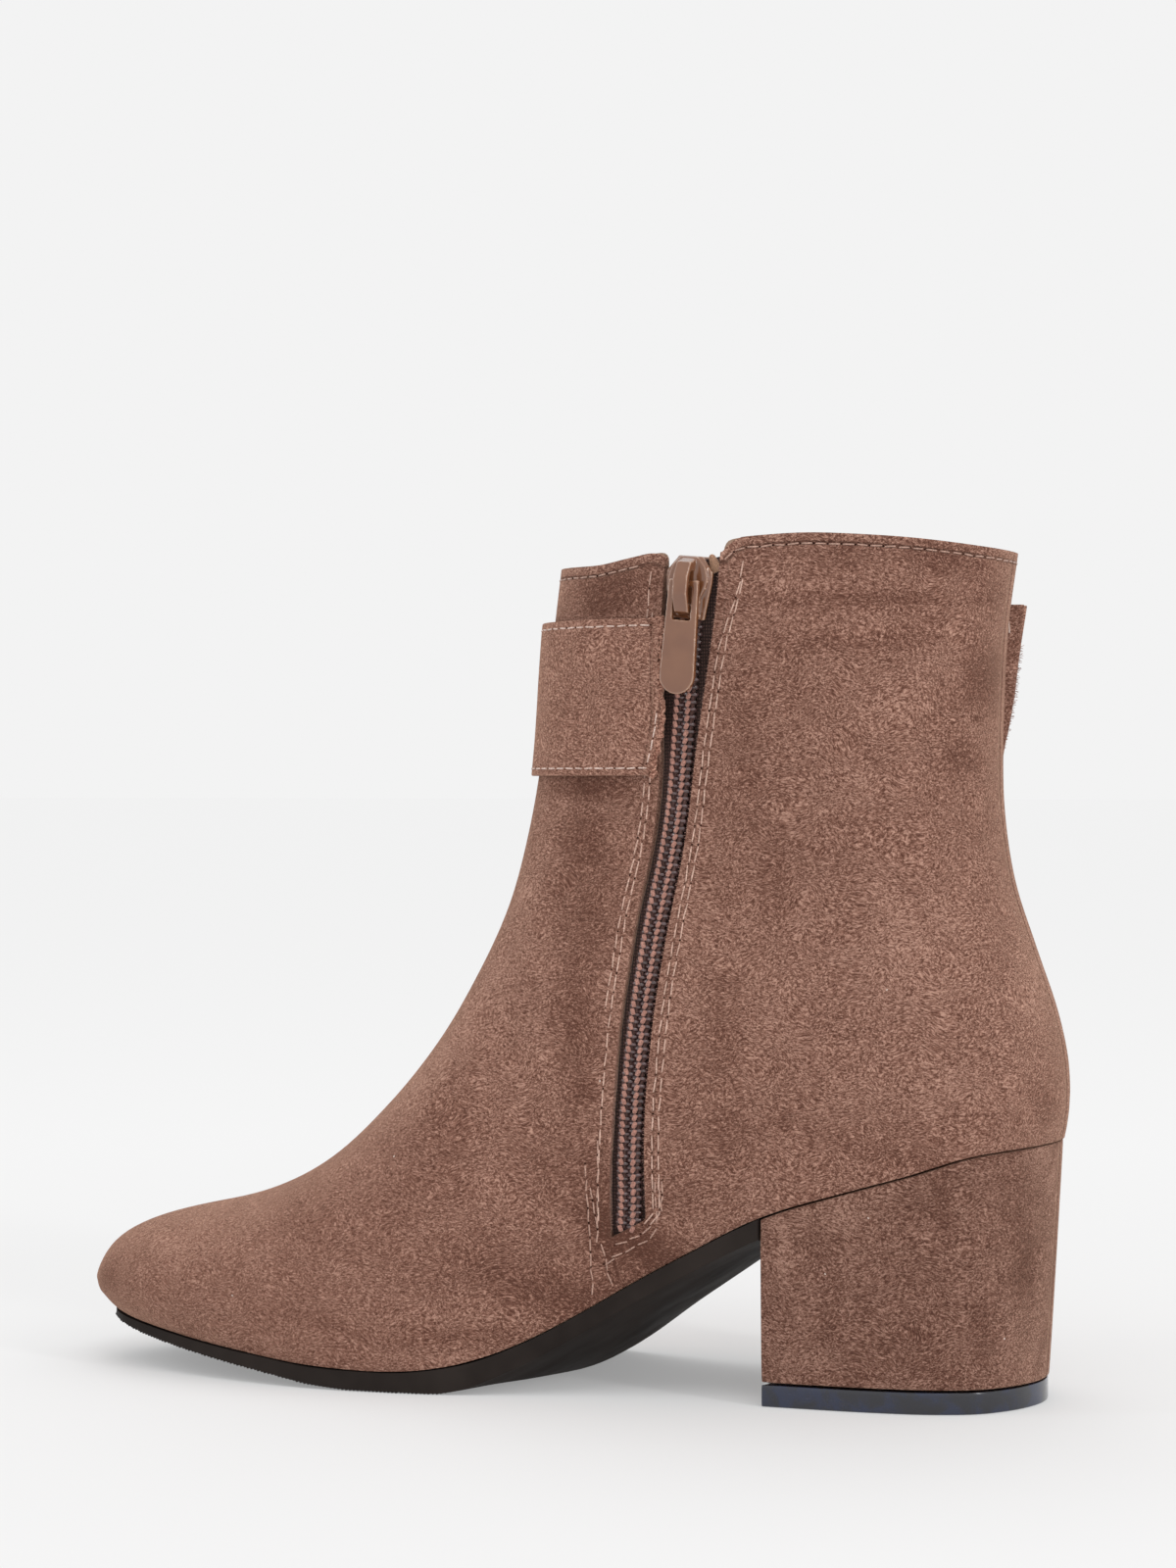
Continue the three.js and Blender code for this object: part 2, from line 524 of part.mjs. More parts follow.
// A closed shell between two grids of points. has(k, i) tells which of their cells are there.
function shell(outer, inner, wrap, has = () => true) {
  const count = outer[0].length;
  const cells = wrap ? count : count - 1;
  const rows = outer.length - 1;
  const size = outer.length * count;
  const at = (k, i) => k * count + (i % count);
  const there = (k, i) => {
    if (k < 0 || k >= rows) return false;
    if (!wrap && (i < 0 || i >= cells)) return false;
    return has(k, (i + cells) % cells);
  };
  const faces = [];
  const quad = (a, b, c, d) => faces.push([a, b, c], [a, c, d]);
  for (let k = 0; k < rows; k += 1) {
    for (let i = 0; i < cells; i += 1) {
      if (!there(k, i)) continue;
      const [a, b, c, d] = [at(k, i), at(k, i + 1), at(k + 1, i + 1), at(k + 1, i)];
      quad(a, b, c, d);
      quad(size + a, size + d, size + c, size + b);
      if (!there(k - 1, i)) quad(b, a, size + a, size + b);
      if (!there(k + 1, i)) quad(d, c, size + c, size + d);
      if (!there(k, i - 1)) quad(a, d, size + d, size + a);
      if (!there(k, i + 1)) quad(c, b, size + b, size + c);
    }
  }
  return geometryOf([...outer.flat(), ...inner.flat()], faces);
}

// A grid moved along its normals by distance(k, i)
function offset(rows, normals, distance) {
  return rows.map((row, k) => row.map((p, i) => p.clone().addScaledVector(normals[k][i], distance(k, i))));
}

// Upper: one wall from the sole's edge to the collar, open along the zip
const skinNormals = gridNormals(skin, true);
const lining = offset(skin, skinNormals, () => -WALL);
const inWall = (k, i) => k < RINGS_BELOW_ZIP || i < slotFrom || i >= slotTo;
const upperShape = shell(skin, lining, true, inWall);

const LEAST_STEP = 0.004; // closest that a strip's end comes to a ring, as a share of the boot's height
// A strip of the upper's skin along the zip, on the rings between two of them, from one run off the zip's
// middle to another, and between two depths under the skin
function zipStrip({ vFrom, vTo, cells, from, to, top, bottom }) {
  const stations = ringStations.filter((v) => v > vFrom + LEAST_STEP && v < vTo - LEAST_STEP);
  const grid = [vFrom, ...stations, vTo].map((v) => {
    const zip = ring(v).zip;
    const z = alongRing(v, MEDIAL, zip).z;
    return Array.from({ length: cells + 1 }, (_, i) =>
      alongRing(v, MEDIAL, zip + THREE.MathUtils.lerp(from(z), to(z), i / cells)),
    );
  });
  const normals = gridNormals(grid, false);
  return shell(
    offset(grid, normals, () => -top),
    offset(grid, normals, () => -bottom),
    false,
  );
}

const tapeTop = WALL + GAP;
const tapeBottom = tapeTop + TAPE_THICKNESS;
const sliderFoot = SLIDER_HEIGHT - SLIDER_LENGTH / 2;
const postFoot = SLIDER_LENGTH * 0.12; // the post stands on the upper part of the slider
// Half the space between the tapes: nothing below the slider, and room for the slider's post above it
function tapeSplit(z) {
  const parted = THREE.MathUtils.smoothstep(z, sliderFoot - TAPE_FLARE, SLIDER_HEIGHT - postFoot);
  return GAP / 2 + (POST_WIDTH / 2 + GAP) * parted;
}
const tape = {
  vFrom: vZipFoot - 0.03, // the tapes run on under the foot of the opening
  vTo: 0.985, // and stop short of the collar
  cells: 2,
  top: tapeTop,
  bottom: tapeBottom,
};
const frontTape = zipStrip({ ...tape, from: (z) => -zipHalf(z) - TAPE_MARGIN, to: (z) => -tapeSplit(z) });
const backTape = zipStrip({ ...tape, from: tapeSplit, to: (z) => zipHalf(z) + TAPE_MARGIN });
const coilDepth = WALL - COIL_THICKNESS;
const coilShape = zipStrip({
  vFrom: vZipFoot + 0.006, // clear of the foot of the opening
  vTo: vAtHeight(SLIDER_HEIGHT - GAP),
  cells: 2,
  from: () => -COIL_WIDTH / 2,
  to: () => COIL_WIDTH / 2,
  top: coilDepth,
  bottom: WALL,
});

// Frame on the skin at the slider: its x runs across the zip towards the heel, y up and z outwards
const vSlider = vAtHeight(SLIDER_HEIGHT);
const sliderSeat = alongRing(vSlider, MEDIAL, ring(vSlider).zip);
const seatAhead = alongRing(vSlider, MEDIAL, ring(vSlider).zip + SLIDER_WIDTH / 2);
const seatBehind = alongRing(vSlider, MEDIAL, ring(vSlider).zip - SLIDER_WIDTH / 2);
const vFoot = vAtHeight(sliderFoot);
const seatBelow = alongRing(vFoot, MEDIAL, ring(vFoot).zip);
const sliderUp = sliderSeat.clone().sub(seatBelow).normalize();
const sliderOut = seatAhead.sub(seatBehind).cross(sliderUp).normalize();
const sliderAcross = sliderUp.clone().cross(sliderOut).normalize();
const sliderFrame = new THREE.Matrix4()
  .makeBasis(sliderAcross, sliderUp, sliderOut)
  .setPosition(sliderSeat);

const wasm = await Module();
wasm.setup();

function solid(geometry) {
  const bare = geometry.index ? geometry.toNonIndexed() : geometry.clone();
  bare.deleteAttribute("normal");
  bare.deleteAttribute("uv");
  const merged = mergeVertices(bare, 1e-4);
  return new wasm.Manifold(
    new wasm.Mesh({
      numProp: 3,
      vertProperties: merged.attributes.position.array,
      triVerts: new Uint32Array(merged.index.array),
    }),
  );
}

function fromSolid(made) {
  const mesh = made.getMesh();
  const geometry = new THREE.BufferGeometry();
  geometry.setAttribute("position", new THREE.BufferAttribute(Float32Array.from(mesh.vertProperties), 3));
  geometry.setIndex(Array.from(mesh.triVerts));
  return geometry;
}

// A flat shape with thickness, from z = low to z = high
function plate(points, low, high) {
  const shape = new THREE.Shape(points.map(([x, y]) => new THREE.Vector2(x, y)));
  return new THREE.ExtrudeGeometry(shape, { depth: high - low, bevelEnabled: false }).translate(0, 0, low);
}

// Slider: an outer plate that narrows downwards and carries a leaf-shaped crown, an inner plate behind the
// tapes, the post that joins them above the coil, and the bridge that carries the pull. Shapes are given
// as shares: x of a half width, y of half the slider's length, and z of a height.
const sliderHalf = SLIDER_LENGTH / 2;
const mirrored = (right) => [...right, ...right.map(([x, y]) => [-x, y]).reverse()];
const sliderOutline = mirrored([
  [SLIDER_NOSE / 2, -sliderHalf],
  [SLIDER_WIDTH / 2, sliderHalf * 0.2],
  [SLIDER_WIDTH / 2, sliderHalf * 0.5],
  [SLIDER_WIDTH * 0.26, sliderHalf],
]);
const crownHalf = (SLIDER_WIDTH / 2) * 0.88;
const crownOutline = mirrored([
  [crownHalf * 0.66, -sliderHalf * 0.97],
  [crownHalf * 0.68, -sliderHalf * 0.3],
  [crownHalf * 0.92, sliderHalf * 0.05],
  [crownHalf, sliderHalf * 0.3],
  [crownHalf * 0.84, sliderHalf * 0.68],
  [crownHalf * 0.44, sliderHalf * 0.98],
]);
const plateLow = GAP - coilDepth;
const plateTop = plateLow + SLIDER_PLATE;
const crownTop = plateTop + SLIDER_CROWN;
const sink = SLIDER_CROWN / 2; // how far one cast form runs into the next
const innerHigh = -(tapeBottom + GAP);
const innerLow = innerHigh - SLIDER_INNER;
const bridgeProfile = [
  [-0.89, -sink / BRIDGE_HEIGHT],
  [0.92, -sink / BRIDGE_HEIGHT],
  [0.81, 0.62],
  [0.35, 1],
  [-0.2, 1],
  [-0.78, 0.55],
].map(([up, out]) => [up * sliderHalf, crownTop + out * BRIDGE_HEIGHT]);
const pinRadius = PIN_DIAMETER / 2;
const holeLow = crownTop + GAP;
const holeProfile = [
  [-0.53, 0],
  [0.55, 0],
  [0.5, 0.75],
  [0.3, 1],
  [-0.2, 1],
  [-0.5, 0.7],
].map(([up, out]) => [up * sliderHalf, holeLow + out * BRIDGE_HOLE]);
// A profile given as up and out, extruded across the zip to both sides of its middle
function across(profile, half) {
  const swap = new THREE.Matrix4().makeBasis(
    new THREE.Vector3(0, 1, 0),
    new THREE.Vector3(0, 0, 1),
    new THREE.Vector3(1, 0, 0),
  );
  return plate(profile, -half, half).applyMatrix4(swap);
}
const postLength = sliderHalf - postFoot;
const postHeight = plateTop - innerLow - 2 * sink;
const sliderShape = fromSolid(
  [
    plate(sliderOutline, innerLow, innerHigh),
    plate(crownOutline, plateTop - sink, crownTop),
    new THREE.BoxGeometry(POST_WIDTH, postLength, postHeight).translate(
      0,
      sliderHalf - postLength / 2 - sink,
      (plateTop + innerLow) / 2,
    ),
    across(bridgeProfile, BRIDGE_WIDTH / 2),
  ]
    .reduce((made, form) => made.add(solid(form)), solid(plate(sliderOutline, plateLow, plateTop)))
    .subtract(solid(across(holeProfile, BRIDGE_WIDTH))),
).applyMatrix4(sliderFrame);

// Pull: a tab with a round end, hanging from two arms and the pin that runs under the bridge
const pinOut = holeLow + BRIDGE_HOLE / 2;
const pinUp = sliderHalf * 0.12;
const armInner = BRIDGE_WIDTH / 2 + PULL_CLEARANCE;
const armTop = pinRadius + 0.1; // the arms end just above the pin
const tabEnd = PULL_WIDTH / 2;
const ROUND_STEPS = 10;
const tabOutline = [[-PULL_NECK / 2, armTop]];
for (let i = 0; i <= ROUND_STEPS; i += 1) {
  const angle = Math.PI * (1 + i / ROUND_STEPS);
  tabOutline.push([tabEnd * Math.cos(angle), -PULL_LENGTH + tabEnd + tabEnd * Math.sin(angle)]);
}
tabOutline.push([PULL_NECK / 2, armTop]);
const windowOutline = mirrored([
  [armInner, -PULL_WINDOW - pinRadius],
  [armInner, 2 * armTop],
]);
const pinLength = PULL_NECK - PULL_CLEARANCE;
const pin = new THREE.CylinderGeometry(pinRadius, pinRadius, pinLength, ROUND_STEPS);
const pullShape = fromSolid(
  solid(plate(tabOutline, -PULL_THICKNESS / 2, PULL_THICKNESS / 2))
    .subtract(solid(plate(windowOutline, -PULL_THICKNESS, PULL_THICKNESS)))
    .add(solid(pin.rotateZ(Math.PI / 2))),
);
const pullSeat = new THREE.Vector3(0, pinUp, pinOut).applyMatrix4(sliderFrame);
const pullFrame = sliderFrame.clone().setPosition(pullSeat);
pullShape.applyMatrix4(pullFrame);

// Sole parts are ladders of stations along the foot. profile(y) gives the section's points in order, from
// the inner edge to the outer edge along the top and back along the underside.
function ladder(stations, profile) {
  const rows = stations.map(profile);
  const count = rows[0].length;
  const faces = [];
  for (let k = 0; k < rows.length - 1; k += 1) {
    for (let i = 0; i < count; i += 1) {
      const [a, b] = [k * count + i, k * count + ((i + 1) % count)];
      faces.push([a, b, b + count], [a, b + count, a + count]);
    }
  }
  const last = (rows.length - 1) * count;
  const half = count / 2;
  for (let i = 0; i < half - 1; i += 1) {
    const j = count - 1 - i;
    faces.push([i, j, i + 1], [i + 1, j, j - 1]);
    faces.push([last + i, last + i + 1, last + j], [last + i + 1, last + j - 1, last + j]);
  }
  return geometryOf(rows.flat(), faces);
}

// Stations from one y to another, closer together at a round end
function stationsTo(from, to, count, roundFrom, roundTo) {
  return Array.from({ length: count + 1 }, (_, i) => {
    const t = i / count;
    if (roundFrom && roundTo) return THREE.MathUtils.lerp(from, to, (1 - Math.cos(Math.PI * t)) / 2);
    if (roundTo) return THREE.MathUtils.lerp(from, to, Math.sin((Math.PI / 2) * t));
    return THREE.MathUtils.lerp(from, to, t);
  });
}

// Across a section: shares from the inner edge (-1) to the outer edge (1)
const ACROSS = [-1, -0.86, -0.5, 0, 0.5, 0.86, 1];
const TIP_HALF = 3; // half width left at the rounded ends of the sole parts
const planEdges = (y, margin, least) =>
  [MEDIAL, LATERAL].map((side) => swing(y) + side * Math.max(offsetPlan(side, y, margin), least));
const between = (pair, share) => THREE.MathUtils.lerp(...pair, (share + 1) / 2);
const edgeHeights = (y) => [MEDIAL, LATERAL].map((side) => soleZ(side, Math.min(y, SOLE_LENGTH)));

const outsoleStations = [
  ...stationsTo(BREAST + GAP, TREAD_FROM, 10),
  ...stationsTo(TREAD_FROM, TREAD_TO, 3).slice(1),
  ...stationsTo(TREAD_TO, SOLE_LENGTH + SOLE_MARGIN, 12, false, true).slice(1),
];
const outsoleShape = ladder(outsoleStations, (y) => {
  const along = Math.min(y / SOLE_LENGTH, 1);
  const flat = y >= TREAD_FROM && y <= TREAD_TO;
  const heights = edgeHeights(y);
  const edges = planEdges(y, SOLE_MARGIN, TIP_HALF);
  const belly = SHANK_CROWN * crownShare(along);
  const low = (share) => between(heights, share) - TREAD * edgeShare(along) - belly * (1 - share ** 2);
  return [
    ...ACROSS.map((share) => new THREE.Vector3(between(edges, share), y, between(heights, share) - GAP)),
    ...[...ACROSS].reverse().map((share) =>
      new THREE.Vector3(between(edges, share), y, flat ? 0 : Math.max(low(share), 0)),
    ),
  ];
});

// Insole: lies inside the wall on the sole's top
const insoleInset = WALL + GAP + INSOLE_PLAY;
const insoleShape = ladder(stationsTo(insoleInset, SOLE_LENGTH - insoleInset, 32, true, true), (y) => {
  const edges = planEdges(y, -insoleInset, TIP_HALF / 2);
  const [innerEdge, outerEdge] = planEdges(y, SOLE_MARGIN, TIP_HALF);
  const heights = edgeHeights(y);
  const point = (share, up) => {
    const x = between(edges, share);
    const across = (2 * (x - innerEdge)) / (outerEdge - innerEdge) - 1;
    return new THREE.Vector3(x, y, between(heights, across) + up);
  };
  const top = [-1, 0, 1].map((share) => point(share, INSOLE_THICKNESS));
  return [...top, ...[1, 0, -1].map((share) => point(share, 0))];
});

// Heel: the seat's outline on top, drawn in towards the floor, with a flat breast
const HEEL_STEPS = 14;
const HEEL_EVENNESS = 0.3; // 0 crowds the stations towards the round back, 1 spaces them evenly
const heelStations = Array.from({ length: HEEL_STEPS + 1 }, (_, i) =>
  THREE.MathUtils.lerp(1 - Math.cos((Math.PI / 2) * (i / HEEL_STEPS)), i / HEEL_STEPS, HEEL_EVENNESS),
);
function heelBlock(drawnTop, drawnFoot, topHeights, footZ) {
  return ladder(heelStations, (share) => {
    const [top, foot] = [drawnTop, drawnFoot].map((drawn) => {
      const back = HEEL_RIM + drawn;
      const y = THREE.MathUtils.lerp(back, BREAST, share);
      // The outline is the seat's, moved in at the back and drawn up towards the breast
      const seatY = THREE.MathUtils.lerp(HEEL_RIM / 2, BREAST, share);
      const draw = HEEL_RIM / 2 + drawn * HEEL_SIDE_SHARE;
      return { y, halves: [MEDIAL, LATERAL].map((side) => Math.max(solePlan(side, seatY) - draw, TIP_HALF)) };
    });
    const [inner, outer] = topHeights(top.y);
    return [
      new THREE.Vector3(-top.halves[0], top.y, inner),
      new THREE.Vector3(top.halves[1], top.y, outer),
      new THREE.Vector3(foot.halves[1], foot.y, footZ),
      new THREE.Vector3(-foot.halves[0], foot.y, footZ),
    ];
  });
}
const seatHeights = (y) => edgeHeights(y).map((z) => z - GAP);
const tipDraw = HEEL_TAPER + TIP_MARGIN;
const heelShape = heelBlock(0, HEEL_TAPER, seatHeights, TIP_HEIGHT + GAP);
const tipShape = heelBlock(tipDraw, tipDraw, () => [TIP_HEIGHT, TIP_HEIGHT], 0);

const SLICE_STEPS = 60;
// Strap: level slices of the shaft, from the zip's front edge round the front to the outer side of the back
function lineAtHeight(line, z) {
  let [low, high] = line === frontLine ? [0.3, 1] : [0.1, 1];
  for (let i = 0; i < HALVINGS; i += 1) {
    const middle = (low + high) / 2;
    if (line.getPointAt(middle).z < z) low = middle;
    else high = middle;
  }
  return line.getPointAt(low).y;
}

function slice(z) {
  const front = lineAtHeight(frontLine, z);
  const back = lineAtHeight(backLine, z);
  const one = (side) =>
    Array.from({ length: SLICE_STEPS + 1 }, (_, i) => {
      const y = THREE.MathUtils.lerp(front, back, (1 - Math.cos((Math.PI * i) / SLICE_STEPS)) / 2);
      const end = i === 0 || i === SLICE_STEPS;
      return new THREE.Vector3(swing(y) + side * (end ? 0 : halfWidth(side, y, z)), y, z);
    });
  const points = [...one(MEDIAL).reverse(), ...one(LATERAL).slice(1)];
  const run = [0];
  for (let i = 1; i < points.length; i += 1) run.push(run[i - 1] + points[i].distanceTo(points[i - 1]));
  const at = (length) => {
    let i = 1;
    while (i < run.length - 1 && run[i] < length) i += 1;
    return points[i - 1].clone().lerp(points[i], (length - run[i - 1]) / (run[i] - run[i - 1]));
  };
  const zip = points.findIndex((p) => p.y > zipY(z));
  return { at, start: run[zip] + zipHalf(z) - STRAP_OVER, end: run[run.length - 1] - STRAP_END };
}

const STRAP_COLUMNS = 44;
const STRAP_ROWS = [0, 0.33, 0.67, 1];
// How far the strap's top edge stands off the shaft, from its sewn end to its free end
const strapStand = column(
  [
    { along: 0, stand: 0 },
    { along: 0.12, stand: 0.35 },
    { along: 0.26, stand: 1 },
    { along: 0.42, stand: 0.7 },
    { along: 0.62, stand: 0.3 },
    { along: 1, stand: 0.3 },
  ],
  "along",
  "stand",
);
const STRAP_CLEARANCE = GAP + 0.1; // between the strap and the shaft's facets
const LIFT_FROM = 0.82; // the free end starts to leave the shaft here
const RISE_FROM = 0.45; // and the strap to climb here
const FOOT_LIFT = 0.2; // share of the lift at the strap's bottom edge
const strapLift = (along) => THREE.MathUtils.smoothstep(along, LIFT_FROM, 1) ** 1.5;
const strapGrid = STRAP_ROWS.map((up) => {
  const z = THREE.MathUtils.lerp(STRAP_BOTTOM, STRAP_TOP, up);
  const [level, risen] = [slice(z), slice(z + STRAP_RISE)];
  return Array.from({ length: STRAP_COLUMNS + 1 }, (_, i) => {
    const along = i / STRAP_COLUMNS;
    const low = level.at(THREE.MathUtils.lerp(level.start, level.end, along));
    const high = risen.at(THREE.MathUtils.lerp(risen.start, risen.end, along));
    return low.lerp(high, THREE.MathUtils.smoothstep(along, RISE_FROM, 1));
  });
});
const inward = gridNormals(strapGrid, false)[0][0].x > 0 ? -1 : 1;
const strapNormals = gridNormals(strapGrid, false).map((row) =>
  row.map((n) => n.clone().setZ(0).normalize().multiplyScalar(inward)),
);
function strapOff(k, i) {
  const along = i / STRAP_COLUMNS;
  const up = STRAP_ROWS[k];
  const slack = STRAP_SLACK * strapStand(along) * up ** 1.2;
  return STRAP_CLEARANCE + slack + STRAP_LIFT * strapLift(along) * THREE.MathUtils.lerp(FOOT_LIFT, 1, up);
}
const strapInner = offset(strapGrid, strapNormals, strapOff);
const strapOuter = offset(strapGrid, strapNormals, (k, i) => strapOff(k, i) + STRAP_THICKNESS);
const strapShape = inward > 0 ? shell(strapOuter, strapInner, false) : shell(strapInner, strapOuter, false);

const suede = new THREE.MeshStandardMaterial({ color: 0x8a6557, roughness: 0.95, metalness: 0 });
const rubber = new THREE.MeshStandardMaterial({ color: 0x2b2725, roughness: 0.6, metalness: 0 });
const tipPlastic = new THREE.MeshStandardMaterial({ color: 0x252a38, roughness: 0.35, metalness: 0 });
const insoleCloth = new THREE.MeshStandardMaterial({ color: 0xa98f78, roughness: 0.85, metalness: 0 });
const tapeCloth = new THREE.MeshStandardMaterial({ color: 0x5d3f36, roughness: 0.9, metalness: 0 });
const coilNylon = new THREE.MeshStandardMaterial({ color: 0x6e4a40, roughness: 0.4, metalness: 0 });
const enamel = new THREE.MeshStandardMaterial({ color: 0x8c6650, roughness: 0.25, metalness: 0.3 });

const boot = new THREE.Group();
function piece(name, geometry, material) {
  const mesh = new THREE.Mesh(geometry, material);
  mesh.name = name;
  boot.add(mesh);
  return mesh;
}

piece("upper", upperShape, suede);
piece("outsole", outsoleShape, rubber);
piece("insole", insoleShape, insoleCloth);
piece("heel", heelShape, suede);
piece("heel_tip", tipShape, tipPlastic);
piece("strap", strapShape, suede);
piece("zip_tape_front", frontTape, tapeCloth);
piece("zip_tape_back", backTape, tapeCloth);
piece("zip_coil", coilShape, coilNylon);
piece("zip_slider", sliderShape, enamel);
piece("zip_pull", pullShape, enamel);

// Put the origin on the floor below the middle of the boot
const bounds = new THREE.Box3().setFromObject(boot, true);
const middle = bounds.getCenter(new THREE.Vector3());
boot.position.set(-middle.x, -middle.y, -bounds.min.z);

export default boot;
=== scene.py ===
# A right ankle boot in taupe suede on a covered block heel: its looks, around the fixed frame of its parts.
# Metres, in the frame's own axes: +Y to the toe, +Z up, +X to the outer side of the foot.
import bpy
import math
import random
from mathutils import Matrix, Vector
from mathutils.bvhtree import BVHTree
from mathutils.kdtree import KDTree


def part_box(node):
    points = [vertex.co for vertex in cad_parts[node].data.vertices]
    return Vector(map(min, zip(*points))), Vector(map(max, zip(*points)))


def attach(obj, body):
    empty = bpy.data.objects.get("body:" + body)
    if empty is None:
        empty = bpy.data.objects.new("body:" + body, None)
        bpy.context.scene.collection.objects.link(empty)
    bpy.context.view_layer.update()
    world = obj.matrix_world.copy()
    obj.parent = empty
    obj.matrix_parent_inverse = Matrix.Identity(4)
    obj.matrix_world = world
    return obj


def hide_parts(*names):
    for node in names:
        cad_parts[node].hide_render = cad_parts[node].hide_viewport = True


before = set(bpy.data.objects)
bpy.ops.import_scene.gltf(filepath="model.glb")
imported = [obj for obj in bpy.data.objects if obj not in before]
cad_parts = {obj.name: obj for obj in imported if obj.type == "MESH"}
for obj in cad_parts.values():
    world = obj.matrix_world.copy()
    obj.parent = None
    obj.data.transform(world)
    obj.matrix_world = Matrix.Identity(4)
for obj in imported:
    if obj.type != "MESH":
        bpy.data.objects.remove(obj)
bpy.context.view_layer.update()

MM = 0.001
UP = Vector((0, 0, 1))
BOOT = "boot"
PULL = "pull"
INNER = -1
OUTER = 1
FAR = 300 * MM  # outside the boot, where the rays that look for its skin start
chance = random.Random(11)

# Photograph's camera: level, on the inner side, a little behind square on
CAMERA_PLACE = Vector((-762.0, -251.6, 139.7)) * MM
CAMERA_TURN = math.radians(18)
CAMERA_LENS = 77.6
CAMERA_SENSOR = 36
PHOTO_WIDTH = 1200
PHOTO_HEIGHT = 1600
VIEW = Vector((math.cos(CAMERA_TURN), math.sin(CAMERA_TURN), 0))
RIGHT = VIEW.cross(UP)
FOCAL = PHOTO_HEIGHT * CAMERA_LENS / CAMERA_SENSOR

# Upper
EDGE_ROUND = 0.55 * MM
WALL_TURN = 55  # degrees: sharper edges bound the wall
SHAFT_MIDDLE = -50 * MM  # along Y
NEAR_SIDE = 12 * MM  # a hit nearer to the shaft's middle is on its far wall
LINING = 0.22 * MM
LINING_GAP = 0.05 * MM
LINING_LOOK = 159 * MM  # a height at which the inner wall is found
RIM_FROM = 182 * MM  # faces above this that look up are the collar's rim
RIM_FACING = 0.75
EDGE_IN = 0.1 * MM  # marks on an edge lie this far inside it
MEASURED = 20 * MM  # longest distance that is stored on a piece

WELD = 0.02 * MM  # points nearer than this are one
PAIRED = 40  # degrees: flatter pairs of triangles become one face
NAP_TONE = 0.965
NAP_SWAY = 9 * MM
CLOUDS = 20  # sizes of the suede's marks, in marks a metre
BLOTS = 85
SWAYS = 70
NAP = 2300
CURLS = 1500
DOWN = 5200
BRUSHED = (-10 * MM, 70 * MM)  # along Y, the nap grows smoother from the first to the second
SEAM_AT = -2.8 * MM  # the seam down the back of shaft and heel, along X
SEAM_HALF = 1.2 * MM
SEAM_END = -84 * MM  # it lies behind this, along Y
SEAM_FADE = 4 * MM

# Zip
ZIP_FROM = 39 * MM  # heights of the opening's foot and of the collar beside it
ZIP_TO = 189 * MM
ZIP_REACH = 30 * MM  # no edge of the opening is further from its middle
COURSE_INSET = 0.6 * MM  # the coil's course keeps off its ends
COURSE_FOOT = 6  # points at the foot that give the way on below it
SIDES = {1: "front", -1: "back"}  # ahead of the zip's middle and behind it
COIL_PITCH = 1.7 * MM
COIL_STEPS = 12  # points of one loop
COIL_WIRE = 0.38 * MM
COIL_HALVES = {1: 1.35 * MM, -1: 1.6 * MM}  # half the width of the loops on each side
COIL_OVERLAP = 0.1 * MM
COIL_SLANT = 0.45 * MM  # each loop's outer end lies higher by twice this
COIL_RISE = 0.5 * MM
CORD_RADIUS = 0.55 * MM
CORD_BESIDE = (0.9 * MM, 2.1 * MM)  # the two cords inside each side's loops, beside the zip's middle
COIL_THREAD = 1.4 * MM  # rows of thread that hold the loops, beside the zip's middle
COIL_STITCH = (1.5 * MM, 1.1 * MM, 0.9 * MM)
COIL_STITCH_LIFT = 0.2 * MM
COIL_STITCH_TURN = 0.4

FLAP_CORNER = (-45.5 * MM, 194.5 * MM)  # top of the opening's back edge, along Y and Z
FLAP_ROUND = 5 * MM
FLAP_DROP = 2.6 * MM

CAST_CELL = 0.16 * MM  # cells in which slider and pull are melted together
GLINT_POINTINESS = (0.508, 0.535)  # pointedness of their outer edges and of their corners, which are painted lighter as painted highlights
# pointedness of their inner corners, which are painted darker as painted shade
CORNER_SHADE_POINTINESS = (0.47, 0.495)

# Sewing
THREAD = 0.36 * MM
ZIP_STITCH = 4.4 * MM
EDGE_STITCH = 3.1 * MM
FOOT_STITCH = 3.4 * MM
HOLES_CLOSED = 0.4  # share of the needle holes that the nap hides
HOLE_DEPTH = 0.1 * MM
HOLE_LIFT = 0.015 * MM
HAIR = 0.13 * MM
ROWS_PART = (168 * MM, 20 * MM)  # from this height and over this length the zip's rows leave its edge
ROW_ENDS = 179 * MM  # where the front flap's rows become one
SECOND_ROW = 88 * MM  # where its second row begins
COLLAR_ROW = 2.4 * MM  # below the collar's edge
COLLAR_HEIGHTS = (180 * MM, 197 * MM)
COLLAR_TURNS = (-49, 277)  # from the front flap's edge round the outer side to the back flap's
STRAP_ROW = 1.7 * MM  # inside the strap's edges
STRAP_INSIDE = -12 * MM  # places along Y that the strap covers on the inner side, and that it doesn't
STRAP_OUTSIDE = -50 * MM
STRAP_TURNS = (-56, 176)
STRAP_SEARCH = 30 * MM  # more than half its height
STRAP_TURN = 45  # degrees: sharper edges are rounded
STRAP_ROUND = 0.4 * MM
TO_ZIP = Vector((0, -1, 0))

# Lumps of the strap's raw end, in mm and radians: least and greatest
LUMP_LONG = (0.9, 2.2)
LUMP_WIDE = (0.8, 1.6)
LUMP_THICK = (0.8, 1.4)
LUMP_OUT = (0.1, 0.9)
LUMP_LIFT = (-0.2, 0.25)
LUMP_TURN = (-0.7, 0.7)
LUMP_PITCH = 0.55 * MM

# The strap's far end: where along Y and Z it is drawn in, over what lengths and by how much
TAIL_FROM = -99 * MM
TAIL_REACH = 6 * MM
TAIL_BELOW = 159 * MM
TAIL_FALL = 13 * MM
TAIL_DRAWN = 2.3 * MM
TAIL_THICK = 0.9 * MM

